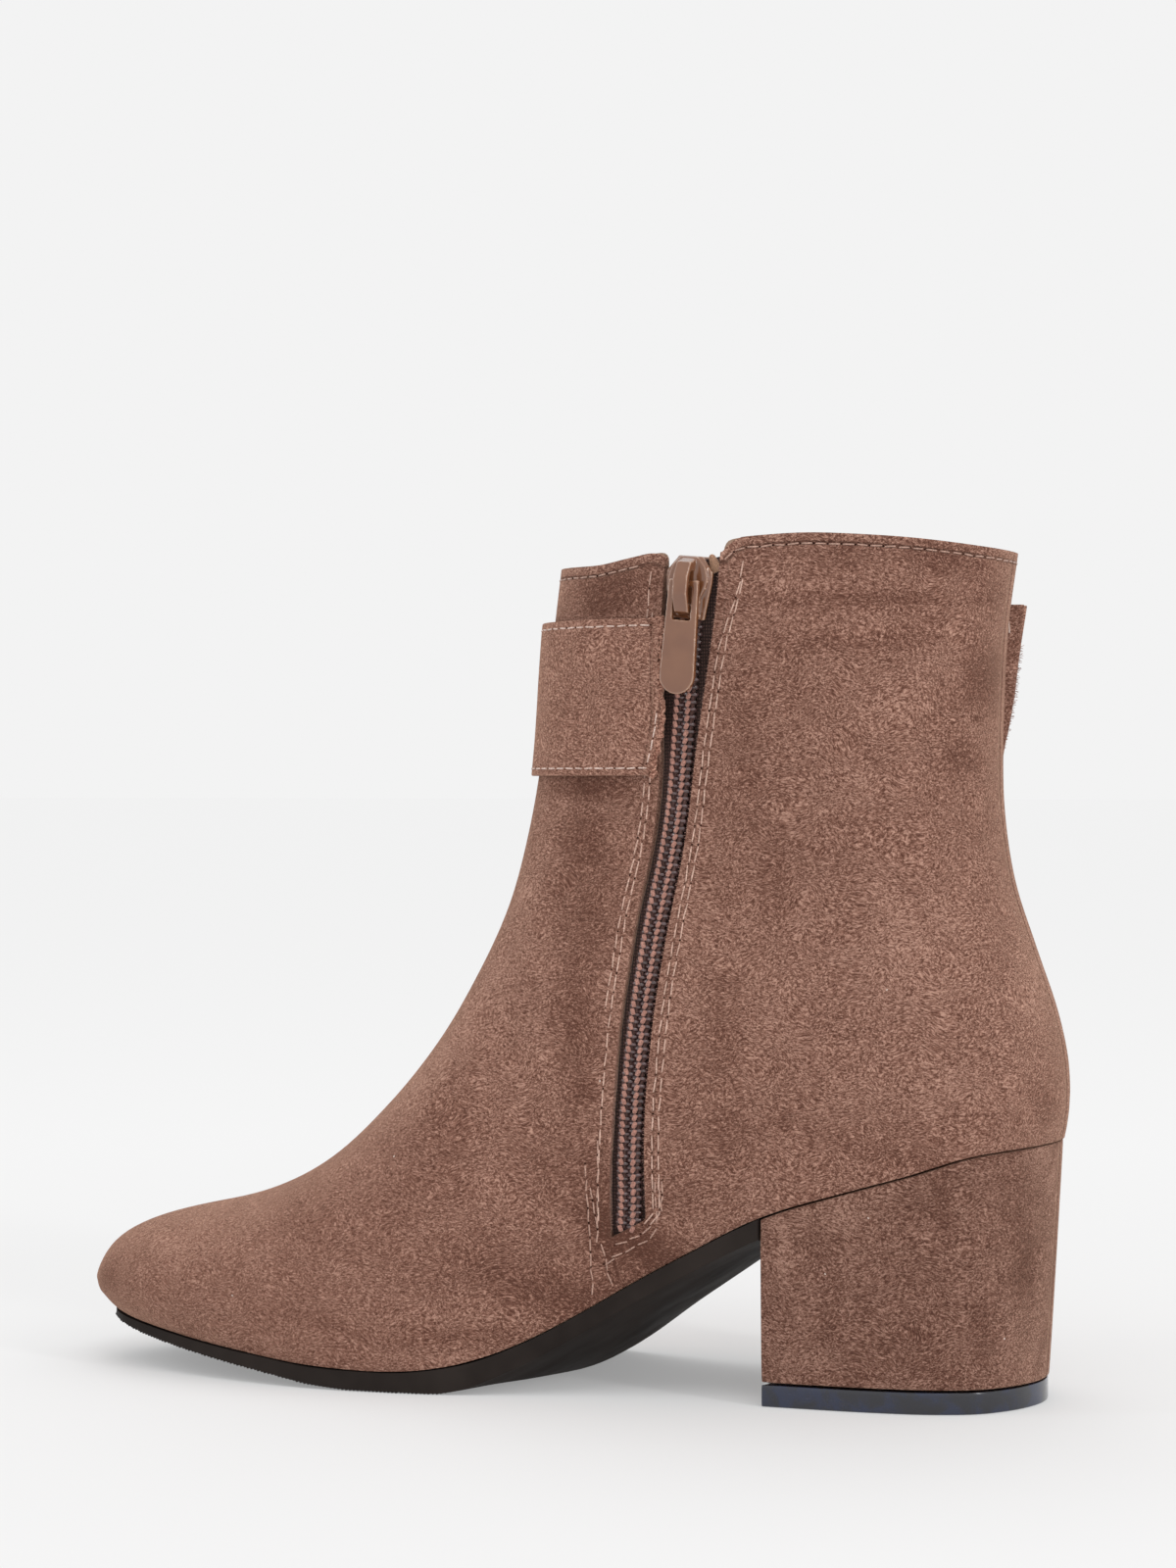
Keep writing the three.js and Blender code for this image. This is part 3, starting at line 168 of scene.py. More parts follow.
# Heel and soles: degrees beyond which an edge is rounded, and by how much
HEEL_TURN = 40
HEEL_ROUND = 0.7 * MM
TIP_ROUND = 0.35 * MM
SOLE_TURN = 45
SOLE_ROUND = 0.45 * MM
INSOLE_ROUND = 0.4 * MM
RIB_PITCH = 0.95 * MM
RIB_HEIGHT = 0.4 * MM
RIBS_FROM = 4 * MM  # the ribbed tread, along Y
RIBS_TO = 112 * MM
RIBS_FADE = 24 * MM
RIB_FOOT = 0.36  # half widths of a rib at its foot and top, as shares of the pitch
RIB_TOP = 0.12
TREAD_FACING = -0.6  # faces that look down more than this are tread

# Stage
FLOOR_SIZE = 60
FLOOR_WHITE = 0.555
FLOOR_GLOW = 0.276  # the table is lit from below as well, so that shadows on it stay pale
FAR_WHITE = 0.572
FLOOR_SPAN = (0.25, 0.6)  # where the floor changes from its near white to its far one
SKY_WHITE = 0.896
STRIP_HEIGHT = 1.0
CLIP_START = 0.01

# Lamps, in metres toward the view, its right and up: name, way in which it shines, power, spread in degrees
SUNS = (
    ("key", (0.5, -0.1, -0.85), 0.3, 24),
    ("back", (-0.45, 0.1, -0.9), 0.3, 30),
)
# Tall narrow lights beside the camera, for the bright lines on the enamel's edges: name, place, width, power
STRIPS = (
    ("strip_right", (-0.82, 0.86, 0.62), 0.1, 4.0),
    ("strip_left", (-0.18, -1.15, 0.62), 0.1, 1.6),
)


# Editing by hand

def leave_edit():
    """Back to object mode."""
    if bpy.context.object and bpy.context.object.mode != "OBJECT":
        bpy.ops.object.mode_set(mode="OBJECT")


def work_on(piece):
    leave_edit()
    bpy.ops.object.select_all(action="DESELECT")
    piece.select_set(True)
    bpy.context.view_layer.objects.active = piece
    return piece


def edit(piece, mode="FACE", everything=False):
    work_on(piece)
    bpy.ops.object.mode_set(mode="EDIT")
    bpy.ops.mesh.select_mode(type=mode)
    bpy.ops.mesh.select_all(action="SELECT" if everything else "DESELECT")


def pick(piece, wanted, kind="FACE"):
    """Selects, in edit mode, the faces, edges or points that wanted says yes to."""
    edit(piece, kind)
    bpy.ops.object.mode_set(mode="OBJECT")
    mesh = piece.data
    items = {"FACE": mesh.polygons, "EDGE": mesh.edges, "VERT": mesh.vertices}[kind]
    for item in items:
        item.select = bool(wanted(item))
    bpy.ops.object.mode_set(mode="EDIT")


def finish_with(piece, kind, **settings):
    """Puts a modifier on a piece and applies it."""
    work_on(piece)
    modifier = piece.modifiers.new(kind.title(), kind)
    for name, value in settings.items():
        setattr(modifier, name, value)
    bpy.ops.object.modifier_apply(modifier=modifier.name)
    return piece


def push(piece, name, direction, distance, shares):
    """Moves points along an axis. shares gives each point's index and its share of the distance."""
    group = piece.vertex_groups.new(name=name)
    for index, share in shares:
        group.add([index], share, "REPLACE")
    return finish_with(piece, "DISPLACE", direction=direction, strength=distance, mid_level=0.0,
                       vertex_group=group.name)


def within(share):
    return min(1.0, max(0.0, share))


def smooth(piece, angle=60):
    work_on(piece)
    bpy.ops.object.shade_smooth_by_angle(angle=math.radians(angle))
    return piece


def added(name, mesh):
    piece = bpy.data.objects.new(name, mesh)
    bpy.context.scene.collection.objects.link(piece)
    return piece


def cad_copy(node, name):
    """A copy of a frame node's mesh with its doubles merged and its triangles paired again."""
    piece = added(name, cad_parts[node].data.copy())
    piece.data.materials.clear()
    edit(piece, "VERT", everything=True)
    bpy.ops.mesh.customdata_custom_splitnormals_clear()
    bpy.ops.mesh.remove_doubles(threshold=WELD)
    bpy.ops.mesh.tris_convert_to_quads(face_threshold=math.radians(PAIRED), shape_threshold=math.radians(180))
    leave_edit()
    return piece


def round_edges(piece, sharpness, offset, segments=2):
    """Bevels every edge that is sharper than an angle, so that it stays tight when the piece is smoothed."""
    edit(piece, "EDGE")
    bpy.ops.mesh.edges_select_sharp(sharpness=math.radians(sharpness))
    bpy.ops.mesh.bevel(offset=offset, segments=segments, profile=0.5, affect="EDGES", clamp_overlap=True)
    leave_edit()
    return piece


def subdivide(piece, levels):
    return finish_with(piece, "SUBSURF", levels=levels, render_levels=levels)


def crease_edges(piece, sharpness, amount):
    edit(piece, "EDGE")
    bpy.ops.mesh.edges_select_sharp(sharpness=math.radians(sharpness))
    bpy.ops.transform.edge_crease(value=amount)
    leave_edit()


def keep_size(piece, sharpness, rounds=2):
    """Moves a piece's points out so that, once it is smoothed, its skin passes through where they were."""
    rest = [point.co.copy() for point in piece.data.vertices]
    crease_edges(piece, sharpness, 1)
    for _ in range(rounds):
        trial = added("trial", piece.data.copy())
        subdivide(trial, 1)
        for point, place in zip(piece.data.vertices, rest):
            point.co += place - trial.data.vertices[point.index].co
        bpy.data.objects.remove(trial)
    crease_edges(piece, sharpness, -1)
    return piece


def smoothed(node, name, sharpness, rounding, segments=2, levels=2):
    """A frame node's form with a fine skin and its sharp edges rounded."""
    piece = cad_copy(node, name)
    keep_size(piece, sharpness)
    round_edges(piece, sharpness, rounding, segments)
    return subdivide(piece, levels)


def place(piece, body, material, slot=None, replaces=()):
    """Gives a finished piece its body, its material and what it stands for."""
    leave_edit()
    piece.data.materials.clear()
    piece.data.materials.append(material)
    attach(piece, body)
    if replaces:
        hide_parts(*replaces)
    return piece


# Finding the skin

def sight(pixel):
    """Direction in which the camera sees a pixel of the photograph."""
    right = (pixel[0] - PHOTO_WIDTH / 2) / FOCAL
    down = (pixel[1] - PHOTO_HEIGHT / 2) / FOCAL
    return (VIEW + RIGHT * right - UP * down).normalized()


class Surface:
    """The skin of some pieces, to lay threads and marks on. A hit is a point and the skin's normal there."""

    def __init__(self, *pieces):
        points = []
        faces = []
        for piece in pieces:
            first = len(points)
            points += [point.co.copy() for point in piece.data.vertices]
            faces += [[first + i for i in face.vertices] for face in piece.data.polygons]
        self.tree = BVHTree.FromPolygons(points, faces)

    def hit(self, start, way):
        point, normal, _, _ = self.tree.ray_cast(start, way)
        return None if point is None else (point, normal)

    def seen(self, pixel):
        return self.hit(CAMERA_PLACE, sight(pixel))

    def side(self, y, z):
        """On the inner side, at a place along Y and Z."""
        return self.hit(Vector((-FAR, y, z)), Vector((1, 0, 0)))

    def around(self, turn, z):
        """On the shaft at a height, turned from the front (0) through the outer side (90) in degrees."""
        middle = Vector((0, SHAFT_MIDDLE, z))
        way = Vector((math.sin(math.radians(turn)), math.cos(math.radians(turn)), 0))
        found = self.hit(middle + way * FAR, -way)
        return found if found and (found[0] - middle).dot(way) > NEAR_SIDE else None

    def below(self, x, y):
        return self.hit(Vector((x, y, -FAR)), UP)

    def line(self, pixels, steps=12):
        """Hits along straight stretches between pixels of the photograph."""
        hits = []
        for a, b in zip(pixels, pixels[1:]):
            for i in range(steps):
                share = i / steps
                hits.append(self.seen((a[0] + (b[0] - a[0]) * share, a[1] + (b[1] - a[1]) * share)))
        hits.append(self.seen(pixels[-1]))
        return kept(hits)


def kept(hits):
    """The hits without the misses."""
    return [hit for hit in hits if hit]


def near_wall(hit):
    """Whether a hit from the inner side lies on the wall there, and not on the far one."""
    return hit is not None and hit[0].x < -NEAR_SIDE


def steps(low, high, step):
    """Evenly spaced numbers from low to high, with both."""
    count = max(1, round((high - low) / step))
    return [low + (high - low) * i / count for i in range(count + 1)]


def border(inside, outside, test):
    """Where between two numbers test stops being true."""
    for _ in range(14):
        middle = (inside + outside) / 2
        if test(middle):
            inside = middle
        else:
            outside = middle
    return inside


def evened(hits, reach=2):
    """A line of hits with each one averaged with its neighbours."""
    result = []
    for i in range(len(hits)):
        near = hits[max(0, i - reach): i + reach + 1]
        point = sum((hit[0] for hit in near), Vector()) / len(near)
        normal = sum((hit[1] for hit in near), Vector()).normalized()
        result.append((point, normal))
    return result


def spaced(line, pitch, start=0.0):
    """Marks at even distances along a line of hits: point, direction and normal."""
    marks = []
    wanted = start
    run = 0.0
    for (a, normal_a), (b, normal_b) in zip(line, line[1:]):
        length = (b - a).length
        while length > 0 and run + length > wanted:
            share = (wanted - run) / length
            normal = normal_a.lerp(normal_b, share).normalized()
            marks.append((a.lerp(b, share), (b - a).normalized(), normal))
            wanted += pitch
        run += length
    return marks


def line_marks(line):
    """The same for the line's own points."""
    marks = []
    for i, (point, normal) in enumerate(line):
        ahead = line[min(i + 1, len(line) - 1)][0] - line[max(i - 1, 0)][0]
        marks.append((point, ahead.normalized(), normal))
    return marks


def seat(mark, size, lift=0.0, turn=0.0):
    """Matrix that puts a template at a mark: its X along the line, its Z out of the surface."""
    point, along, normal = mark
    across = normal.cross(along).normalized()
    along = across.cross(normal).normalized()
    base = Matrix((along, across, normal)).transposed().to_4x4()
    base.translation = point + normal * lift
    return base @ Matrix.Rotation(turn, 4, "Z") @ Matrix.Diagonal((*size, 1))


def joined_copies(template, name, seats):
    """One mesh of a template's copies, one at each seat."""
    corners = [point.co.copy() for point in template.data.vertices]
    faces = [tuple(face.vertices) for face in template.data.polygons]
    points = []
    joined = []
    for matrix in seats:
        first = len(points)
        points += [matrix @ corner for corner in corners]
        joined += [[first + i for i in face] for face in faces]
    mesh = bpy.data.meshes.new(name)
    mesh.from_pydata(points, [], joined)
    return smooth(added(name, mesh))


def measure(piece, name, marks):
    """Stores on each point of a piece its distance, in millimetres, from the nearest of some marks."""
    tree = KDTree(len(marks))
    for i, mark in enumerate(marks):
        tree.insert(mark, i)
    tree.balance()
    layer = piece.data.attributes.new(name, "FLOAT", "POINT")
    for i, point in enumerate(piece.data.vertices):
        layer.data[i].value = min(tree.find(point.co)[2], MEASURED) / MM


# Materials

def linear(red, green, blue):
    """A colour given in the photograph's own 0 to 255, as Blender's linear one."""
    return tuple(((c / 255 + 0.055) / 1.055) ** 2.4 for c in (red, green, blue)) + (1,)


class Shader:
    """A material and short ways to add its nodes."""

    def __init__(self, name):
        self.material = bpy.data.materials.new(name)
        self.material.use_nodes = True
        self.tree = self.material.node_tree
        self.tree.nodes.clear()
        self.out = self.tree.nodes.new("ShaderNodeOutputMaterial")
        self.skin = self.tree.nodes.new("ShaderNodeBsdfPrincipled")
        self.tree.links.new(self.skin.outputs[0], self.out.inputs["Surface"])
        self.place = self.tree.nodes.new("ShaderNodeTexCoord").outputs["Object"]

    def put(self, socket, value):
        if isinstance(value, bpy.types.NodeSocket):
            self.tree.links.new(value, socket)
        else:
            socket.default_value = value

    def node(self, kind, inputs=None, output=0, **settings):
        made = self.tree.nodes.new(kind)
        for name, value in settings.items():
            setattr(made, name, value)
        for key, value in (inputs or {}).items():
            self.put(made.inputs[key], value)
        return made.outputs[output]

    def math(self, operation, *values, clamp=False):
        return self.node("ShaderNodeMath", dict(enumerate(values)), operation=operation, use_clamp=clamp)

    def add(self, *values):
        total = values[0]
        for value in values[1:]:
            total = self.math("ADD", total, value)
        return total

    def times(self, value, factor):
        return self.math("MULTIPLY", value, factor)

    def vector(self, operation, *values, output=0):
        return self.node("ShaderNodeVectorMath", dict(enumerate(values)), output, operation=operation)

    def mapped(self, scale=(1, 1, 1), turn=(0, 0, 0), shift=(0, 0, 0), source=None, kind="POINT"):
        inputs = {"Vector": source or self.place, "Scale": scale, "Rotation": turn, "Location": shift}
        return self.node("ShaderNodeMapping", inputs, vector_type=kind)

    def noise(self, scale, detail=2.0, rough=0.5, distortion=0.0, source=None, output=0):
        inputs = {
            "Vector": source or self.place,
            "Scale": scale,
            "Detail": detail,
            "Roughness": rough,
            "Distortion": distortion,
        }
        return self.node("ShaderNodeTexNoise", inputs, output)

    def spread(self, value, low, high, to_low=0.0, to_high=1.0):
        """value's range from low to high, stretched smoothly to another range."""
        inputs = {"Value": value, "From Min": low, "From Max": high, "To Min": to_low, "To Max": to_high}
        return self.node("ShaderNodeMapRange", inputs, interpolation_type="SMOOTHSTEP")

    def stretched(self, value, low, high, to_low=0.0, to_high=1.0):
        """The same in a straight line, beyond its ends too."""
        inputs = {"Value": value, "From Min": low, "From Max": high, "To Min": to_low, "To Max": to_high}
        return self.node("ShaderNodeMapRange", inputs, clamp=False)

    def mix(self, share, first, second):
        made = self.tree.nodes.new("ShaderNodeMix")
        made.data_type = "RGBA"
        self.put(made.inputs["Factor"], share)
        self.put(made.inputs[6], first)
        self.put(made.inputs[7], second)
        return made.outputs[2]

    def between(self, value, low, high, first, second):
        """The first colour where value is low, the second where it is high."""
        return self.mix(self.spread(value, low, high), linear(*first), linear(*second))

    def stored(self, name):
        """A number stored on the piece's points."""
        return self.node("ShaderNodeAttribute", output=2, attribute_name=name)

    def ridge(self, distance, at, half_width):
        """1 on the line that lies at some distance, down to 0 half a width beside it."""
        off = self.math("ABSOLUTE", self.math("SUBTRACT", distance, at))
        return self.spread(off, 0.0, half_width, 1.0, 0.0)

    def spot(self, point, size, turn=0.0):
        """A soft oval mark round a point, 1 in its middle. size is its half length and half height, in mm."""
        half = (min(40.0, max(size) * 1.6) * MM, size[0] * MM, size[1] * MM)
        local = self.mapped(half, (math.radians(turn), 0, 0), point, kind="TEXTURE")
        far = self.vector("LENGTH", local, output=1)
        return self.spread(far, 0.0, 1.0, 1.0, 0.0)

    def bump(self, height, strength, distance, under=None):
        inputs = {"Height": height, "Strength": strength, "Distance": distance}
        if under is not None:
            inputs["Normal"] = under
        return self.node("ShaderNodeBump", inputs)

    def finish(self, **sockets):
        for name, value in sockets.items():
            self.put(self.skin.inputs[name.replace("_", " ")], value)
        return self.material


def suede(name, tone=1.0, seed=0.0, spots=(), creases=(), streaks=0.0, seam=0.0, mottle=0.13):
    """Napped suede, mottled where hands and brush have turned its nap.

    spots are (point, size, turn, amount), darker below 0; besides mottling they paint in light and shade:
    painted shadow, painted shade and painted highlights.
    creases are (name of a stored distance, distance in mm, half width, depth), pressed into the nap and also
    painted into its colour, darker as painted shade, or lighter as a painted highlight where the depth is
    below 0.
    seam is the depth of a seam down its back, painted darker as painted shade, with a painted highlight on
    the fold beside it.
    """
    s = Shader(name)
    tone *= NAP_TONE
    dark = linear(96 * tone, 62 * tone, 51 * tone)
    middle = linear(141 * tone, 101 * tone, 86 * tone)
    light = linear(194 * tone, 152 * tone, 134 * tone)
    here = s.mapped(shift=(seed, seed * 0.7, -seed))
    clouds = s.noise(CLOUDS, 3.0, 0.55, 0.6, here)
    blots = s.noise(BLOTS, 3.0, 0.6, 0.8, here)
    sway = s.noise(SWAYS, 2.0, 0.5, 0.0, here, output=1)
    swayed = s.vector("ADD", here, s.vector("MULTIPLY", sway, (NAP_SWAY, NAP_SWAY, NAP_SWAY)))
    nap = s.noise(NAP, 2.0, 0.55, 0.5, s.mapped((1, 0.55, 1.15), (0.35, 0, 0), source=swayed))
    curl = s.noise(CURLS, 1.0, 0.5, 1.0, s.mapped((1, 0.62, 1.1), (-0.4, 0, 0), source=swayed))
    curl = s.math("ABSOLUTE", s.math("SUBTRACT", curl, 0.5))
    down = s.noise(DOWN, 1.0, 0.6, 0.0, here)
    grain = s.add(
        s.stretched(nap, 0.3, 0.7, -1.0, 1.0),
        s.spread(curl, 0.0, 0.08, -0.6, 0.2),
        s.stretched(down, 0.3, 0.7, -0.3, 0.3),
    )
    along = s.node("ShaderNodeSeparateXYZ", {"Vector": s.place}, 1)
    shade = s.add(
        s.stretched(clouds, 0.3, 0.7, -0.12, 0.12),
        s.stretched(blots, 0.3, 0.7, -mottle, mottle),
        s.math("MULTIPLY", grain, s.spread(along, *BRUSHED, 1.05, 0.72)),
    )
    if streaks:
        streak = s.noise(60, 3.0, 0.6, 0.3, s.mapped((1, 1, 0.12), source=here))
        shade = s.add(shade, s.stretched(streak, 0.3, 0.7, -streaks, streaks))
    for point, size, turn, amount in spots:
        shade = s.add(shade, s.times(s.spot(point, size, turn), amount))
    pressed_and_painted_shade = None
    for stored, at, half_width, depth in creases:
        line = s.times(s.ridge(s.stored(stored), at, half_width), -depth)
        pressed_and_painted_shade = line if pressed_and_painted_shade is None else s.add(pressed_and_painted_shade, line)
    if seam:
        # The seam's groove is painted darker, as painted shade; its depth also bumps the nap.
        apart = s.node("ShaderNodeSeparateXYZ", {"Vector": s.place})
        behind = s.spread(along, SEAM_END, SEAM_END + SEAM_FADE, 1.0, 0.0)
        line = s.math("MULTIPLY", s.times(s.ridge(apart, SEAM_AT, SEAM_HALF), -seam), behind)
        # A lighter strip beside the seam: a painted highlight on its fold.
        turned = s.ridge(apart, SEAM_AT + 2.2 * SEAM_HALF, 1.6 * SEAM_HALF)
        shade = s.add(shade, s.times(s.math("MULTIPLY", turned, behind), 0.3))
        pressed_and_painted_shade = line if pressed_and_painted_shade is None else s.add(pressed_and_painted_shade, line)
    if pressed_and_painted_shade is not None:
        # Pressed lines are painted into the colour as well: darker in troughs as painted shade, lighter on
        # ridges as painted highlights.
        shade = s.add(shade, s.times(pressed_and_painted_shade, 0.5))
    colour = s.mix(s.stretched(shade, -1.0, 0.0), dark, middle)
    colour = s.mix(s.math("MAXIMUM", shade, 0.0, clamp=True), colour, light)
    relief = s.bump(s.add(nap, s.times(down, 0.4), s.spread(curl, 0.0, 0.08, -0.3, 0.0)), 0.7, 0.4 * MM)
    if pressed_and_painted_shade is not None:
        relief = s.bump(pressed_and_painted_shade, 1.0, 0.5 * MM, relief)
    return s.finish(
        Base_Color=colour,
        Roughness=0.95,
        Specular_IOR_Level=0.12,
        Sheen_Weight=0.6,
        Sheen_Roughness=0.32,
        Sheen_Tint=linear(240, 196, 168),
        Normal=relief,
    )


def rubber(name):
    """Near black rubber with a satin skin, softly banded along the sole."""
    s = Shader(name)
    cloud = s.noise(40, 3.0, 0.6)
    bands = s.noise(90, 2.0, 0.5, 0.0, s.mapped((1.3, 0.12, 1.3)))
    colour = s.between(cloud, 0.3, 0.7, (36, 31, 29), (50, 44, 41))
    grain = s.noise(2600, 2.0, 0.6)
    relief = s.bump(bands, 0.12, 1.2 * MM, s.bump(grain, 0.15, 0.1 * MM))
    return s.finish(
        Base_Color=colour,
        Roughness=s.spread(s.add(cloud, bands), 0.7, 1.3, 0.5, 0.7),
        Specular_IOR_Level=0.04,
        Normal=relief,
    )


def plastic(name):
    """Glossy blue-black plastic with cloudy polish, its colour clouded with bluer patches that are painted
    reflections.
    """
    s = Shader(name)
    cloud = s.noise(130, 3.0, 0.6, 0.6)
    # Bluer patches in the colour: painted reflections.
    colour = s.between(cloud, 0.4, 0.62, (30, 31, 38), (30, 38, 62))
    scuff = s.noise(450, 3.0, 0.7, 0.0, s.mapped((1, 1, 6)))
    return s.finish(
        Base_Color=colour,
        Roughness=s.spread(scuff, 0.35, 0.75, 0.12, 0.3),
        Coat_Weight=0.5,
        Coat_Roughness=0.08,
        Normal=s.bump(s.add(scuff, cloud), 0.1, 0.15 * MM),
    )


def lining_cloth(name, base, other):
    """Short-napped lining cloth."""
    s = Shader(name)
    fine = s.noise(1500, 2.0, 0.6)
    clouds = s.noise(40, 3.0, 0.6)
    colour = s.between(s.add(s.times(fine, 0.6), s.times(clouds, 0.4)), 0.35, 0.65, base, other)
    return s.finish(Base_Color=colour, Roughness=0.95, Specular_IOR_Level=0.2, Sheen_Weight=0.2,
                    Normal=s.bump(fine, 0.4, 0.25 * MM))


def tape_weave(name):
    """Woven polyester tape: fine ribs across and along."""
    s = Shader(name)
    along = s.node("ShaderNodeTexWave", {"Vector": s.place, "Scale": 420, "Distortion": 1.2, "Detail": 1.0},
                   1, bands_direction="Z")
    across = s.node("ShaderNodeTexWave", {"Vector": s.place, "Scale": 500, "Distortion": 1.5, "Detail": 1.0},
                    1, bands_direction="Y")
    weave = s.math("MULTIPLY", along, across)
    colour = s.between(weave, 0.0, 0.8, (52, 33, 28), (104, 74, 65))
    return s.finish(Base_Color=colour, Roughness=0.8, Sheen_Weight=0.15, Normal=s.bump(weave, 0.6, 0.2 * MM))


def nylon(name):
    """Greyed violet brown monofilament."""
    s = Shader(name)
    cloud = s.noise(500, 2.0, 0.5)
    colour = s.between(cloud, 0.35, 0.65, (66, 43, 41), (98, 72, 72))
    return s.finish(
        Base_Color=colour,
        Roughness=0.4,
        Specular_IOR_Level=0.35,
        Coat_Weight=1.0,
        Coat_Roughness=0.1,
        Coat_IOR=1.6,
        Normal=s.bump(cloud, 0.1, 0.1 * MM),
    )


def sewing_thread(name, red, green, blue):
    """Twisted polyester thread, a little lustrous."""
    s = Shader(name)
    ply = s.noise(3200, 1.0, 0.5, 0.8)
    tint = s.noise(160, 2.0, 0.5)
    colour = s.between(ply, 0.35, 0.65, (red * 0.72, green * 0.7, blue * 0.68), (red, green, blue))
    colour = s.mix(s.spread(tint, 0.3, 0.7, 0.0, 0.35), colour, linear(red * 0.7, green * 0.62, blue * 0.58))
    return s.finish(
        Base_Color=colour,
        Roughness=0.6,
        Sheen_Weight=0.3,
        Normal=s.bump(ply, 0.5, 0.1 * MM),
    )


def enamel(name):
    """Glossy tan enamel over cast metal, with painted highlights on its sharp outer edges and painted shade
    in its inner corners.
    """
    s = Shader(name)
    cloud = s.noise(150, 2.0, 0.5)
    colour = s.between(cloud, 0.3, 0.7, (113, 66, 36), (122, 75, 44))
    # Painted highlights on sharp outer edges, painted shade in inner corners.
    edges = s.node("ShaderNodeNewGeometry", output="Pointiness")
    colour = s.mix(s.spread(edges, *GLINT_POINTINESS, 0.0, 0.6), colour, linear(206, 168, 142))
    colour = s.mix(s.spread(edges, *CORNER_SHADE_POINTINESS, 0.7, 0.0), colour, linear(62, 36, 22))
    return s.finish(
        Base_Color=colour,
        Roughness=0.4,
        Specular_IOR_Level=0.3,
        Coat_Weight=1.0,
        Coat_Roughness=0.06,
        Coat_IOR=1.7,
        Normal=s.bump(s.noise(300, 2.0, 0.5), 0.04, 0.1 * MM),
    )


def hole_shade(name):
    """The painted shade inside a needle hole."""
    s = Shader(name)
    colour = s.between(s.noise(900), 0.3, 0.7, (28, 17, 14), (52, 32, 27))
    return s.finish(Base_Color=colour, Roughness=1.0, Specular_IOR_Level=0.0)


# Upper

# Soft troughs and ridges pressed into the shaft and vamp, in mm: the side of the boot, where they start and
# end along Y and Z, half their width and their depth. Below 0 they stand out.
CREASES = (
    (INNER, (-101, 193), (-96, 168), 3.6, 0.8),
    (INNER, (-95, 166), (-90, 146), 7.0, 0.7),
    (INNER, (-88, 152), (-70, 142), 8.0, -0.5),
    (INNER, (-62, 176), (-90, 180), 5.0, 0.35),
    (INNER, (-58, 168), (-92, 170), 5.0, -0.35),
    (INNER, (-12, 128), (-2, 104), 8.0, 0.5),
    (INNER, (-4, 96), (4, 74), 8.0, -0.4),
    (INNER, (-50, 66), (-72, 60), 8.0, 0.5),
    (INNER, (16, 86), (36, 66), 9.0, 0.4),
    (INNER, (40, 52), (62, 38), 9.0, -0.35),
    (OUTER, (-96, 170), (-88, 142), 7.0, 0.7),
    (OUTER, (-20, 118), (4, 92), 9.0, 0.6),
    (OUTER, (-44, 84), (-20, 66), 9.0, -0.5),
    (OUTER, (12, 80), (36, 62), 9.0, 0.5),
    (OUTER, (-70, 92), (-90, 80), 9.0, 0.4),
)


def press_creases(piece):
    for number, (side, start, end, half_width, depth) in enumerate(CREASES):
        a = Vector(start) * MM
        b = Vector(end) * MM
        shares = []
        for point in piece.data.vertices:
            if point.co.x * side < 0:
                continue
            spot = Vector((point.co.y, point.co.z))
            share = within((spot - a).dot(b - a) / (b - a).length_squared)
            off = (spot - a.lerp(b, share)).length / (half_width * MM)
            if off < 1:
                shares.append((point.index, (1 - off * off) ** 2))
        push(piece, f"crease_{number}", "X", -side * depth * MM, shares)


def round_flap(piece):
    """Rounds off the back flap's upper corner beside the zip."""
    shares = []
    for point in piece.data.vertices:
        off = (Vector((point.co.y, point.co.z)) - Vector(FLAP_CORNER)).length / FLAP_ROUND
        if off < 1 and point.co.x < 0:
            shares.append((point.index, (1 - off) ** 1.5))
    return push(piece, "flap_corner", "Z", -FLAP_DROP, shares)


def make_upper():
    piece = smoothed("upper", "upper_shell", WALL_TURN, EDGE_ROUND)
    press_creases(piece)
    round_flap(piece)
    return smooth(piece)


def make_lining():
    """Cloth on the inner wall: the wall's own faces, lifted off it a little and given a thickness."""
    piece = cad_copy("upper", "upper_lining")
    point, _ = Surface(piece).hit(Vector((0, SHAFT_MIDDLE, LINING_LOOK)), Vector((1, 0, 0)))
    nearest = min(piece.data.polygons, key=lambda face: (face.center - point).length).index
    pick(piece, lambda face: face.index == nearest)
    bpy.ops.mesh.faces_select_linked_flat(sharpness=math.radians(WALL_TURN))
    bpy.ops.mesh.select_all(action="INVERT")
    bpy.ops.mesh.delete(type="FACE")
    bpy.ops.mesh.select_all(action="SELECT")
    bpy.ops.transform.shrink_fatten(value=LINING_GAP)
    leave_edit()
    keep_size(piece, WALL_TURN)
    subdivide(piece, 2)
    finish_with(piece, "SOLIDIFY", thickness=LINING, offset=1.0)
    smooth(piece)
    cloth = lining_cloth("upper_lining_cloth", (150, 124, 106), (176, 150, 132))
    return place(piece, BOOT, cloth, "insole_cloth")


# Zip

def coil_course(surface):
    """The zip's middle line on the coil's outer face, from its foot up to the slider."""
    course = []
    low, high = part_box("zip_coil")
    for z in steps(low[2] + COURSE_INSET, high[2] - COURSE_INSET, 1.0 * MM):
        found = [y for y in steps(low[1], high[1], 0.3 * MM) if surface.side(y, z)]
        if len(found) > 4:
            course.append(surface.side((found[0] + found[-1]) / 2, z))
    course = evened(kept(course), 4)
    foot = course[0][0] - course[COURSE_FOOT][0]
    under = [(course[0][0] + foot * share, course[0][1]) for share in (0.75, 0.5, 0.25)]
    return under + course


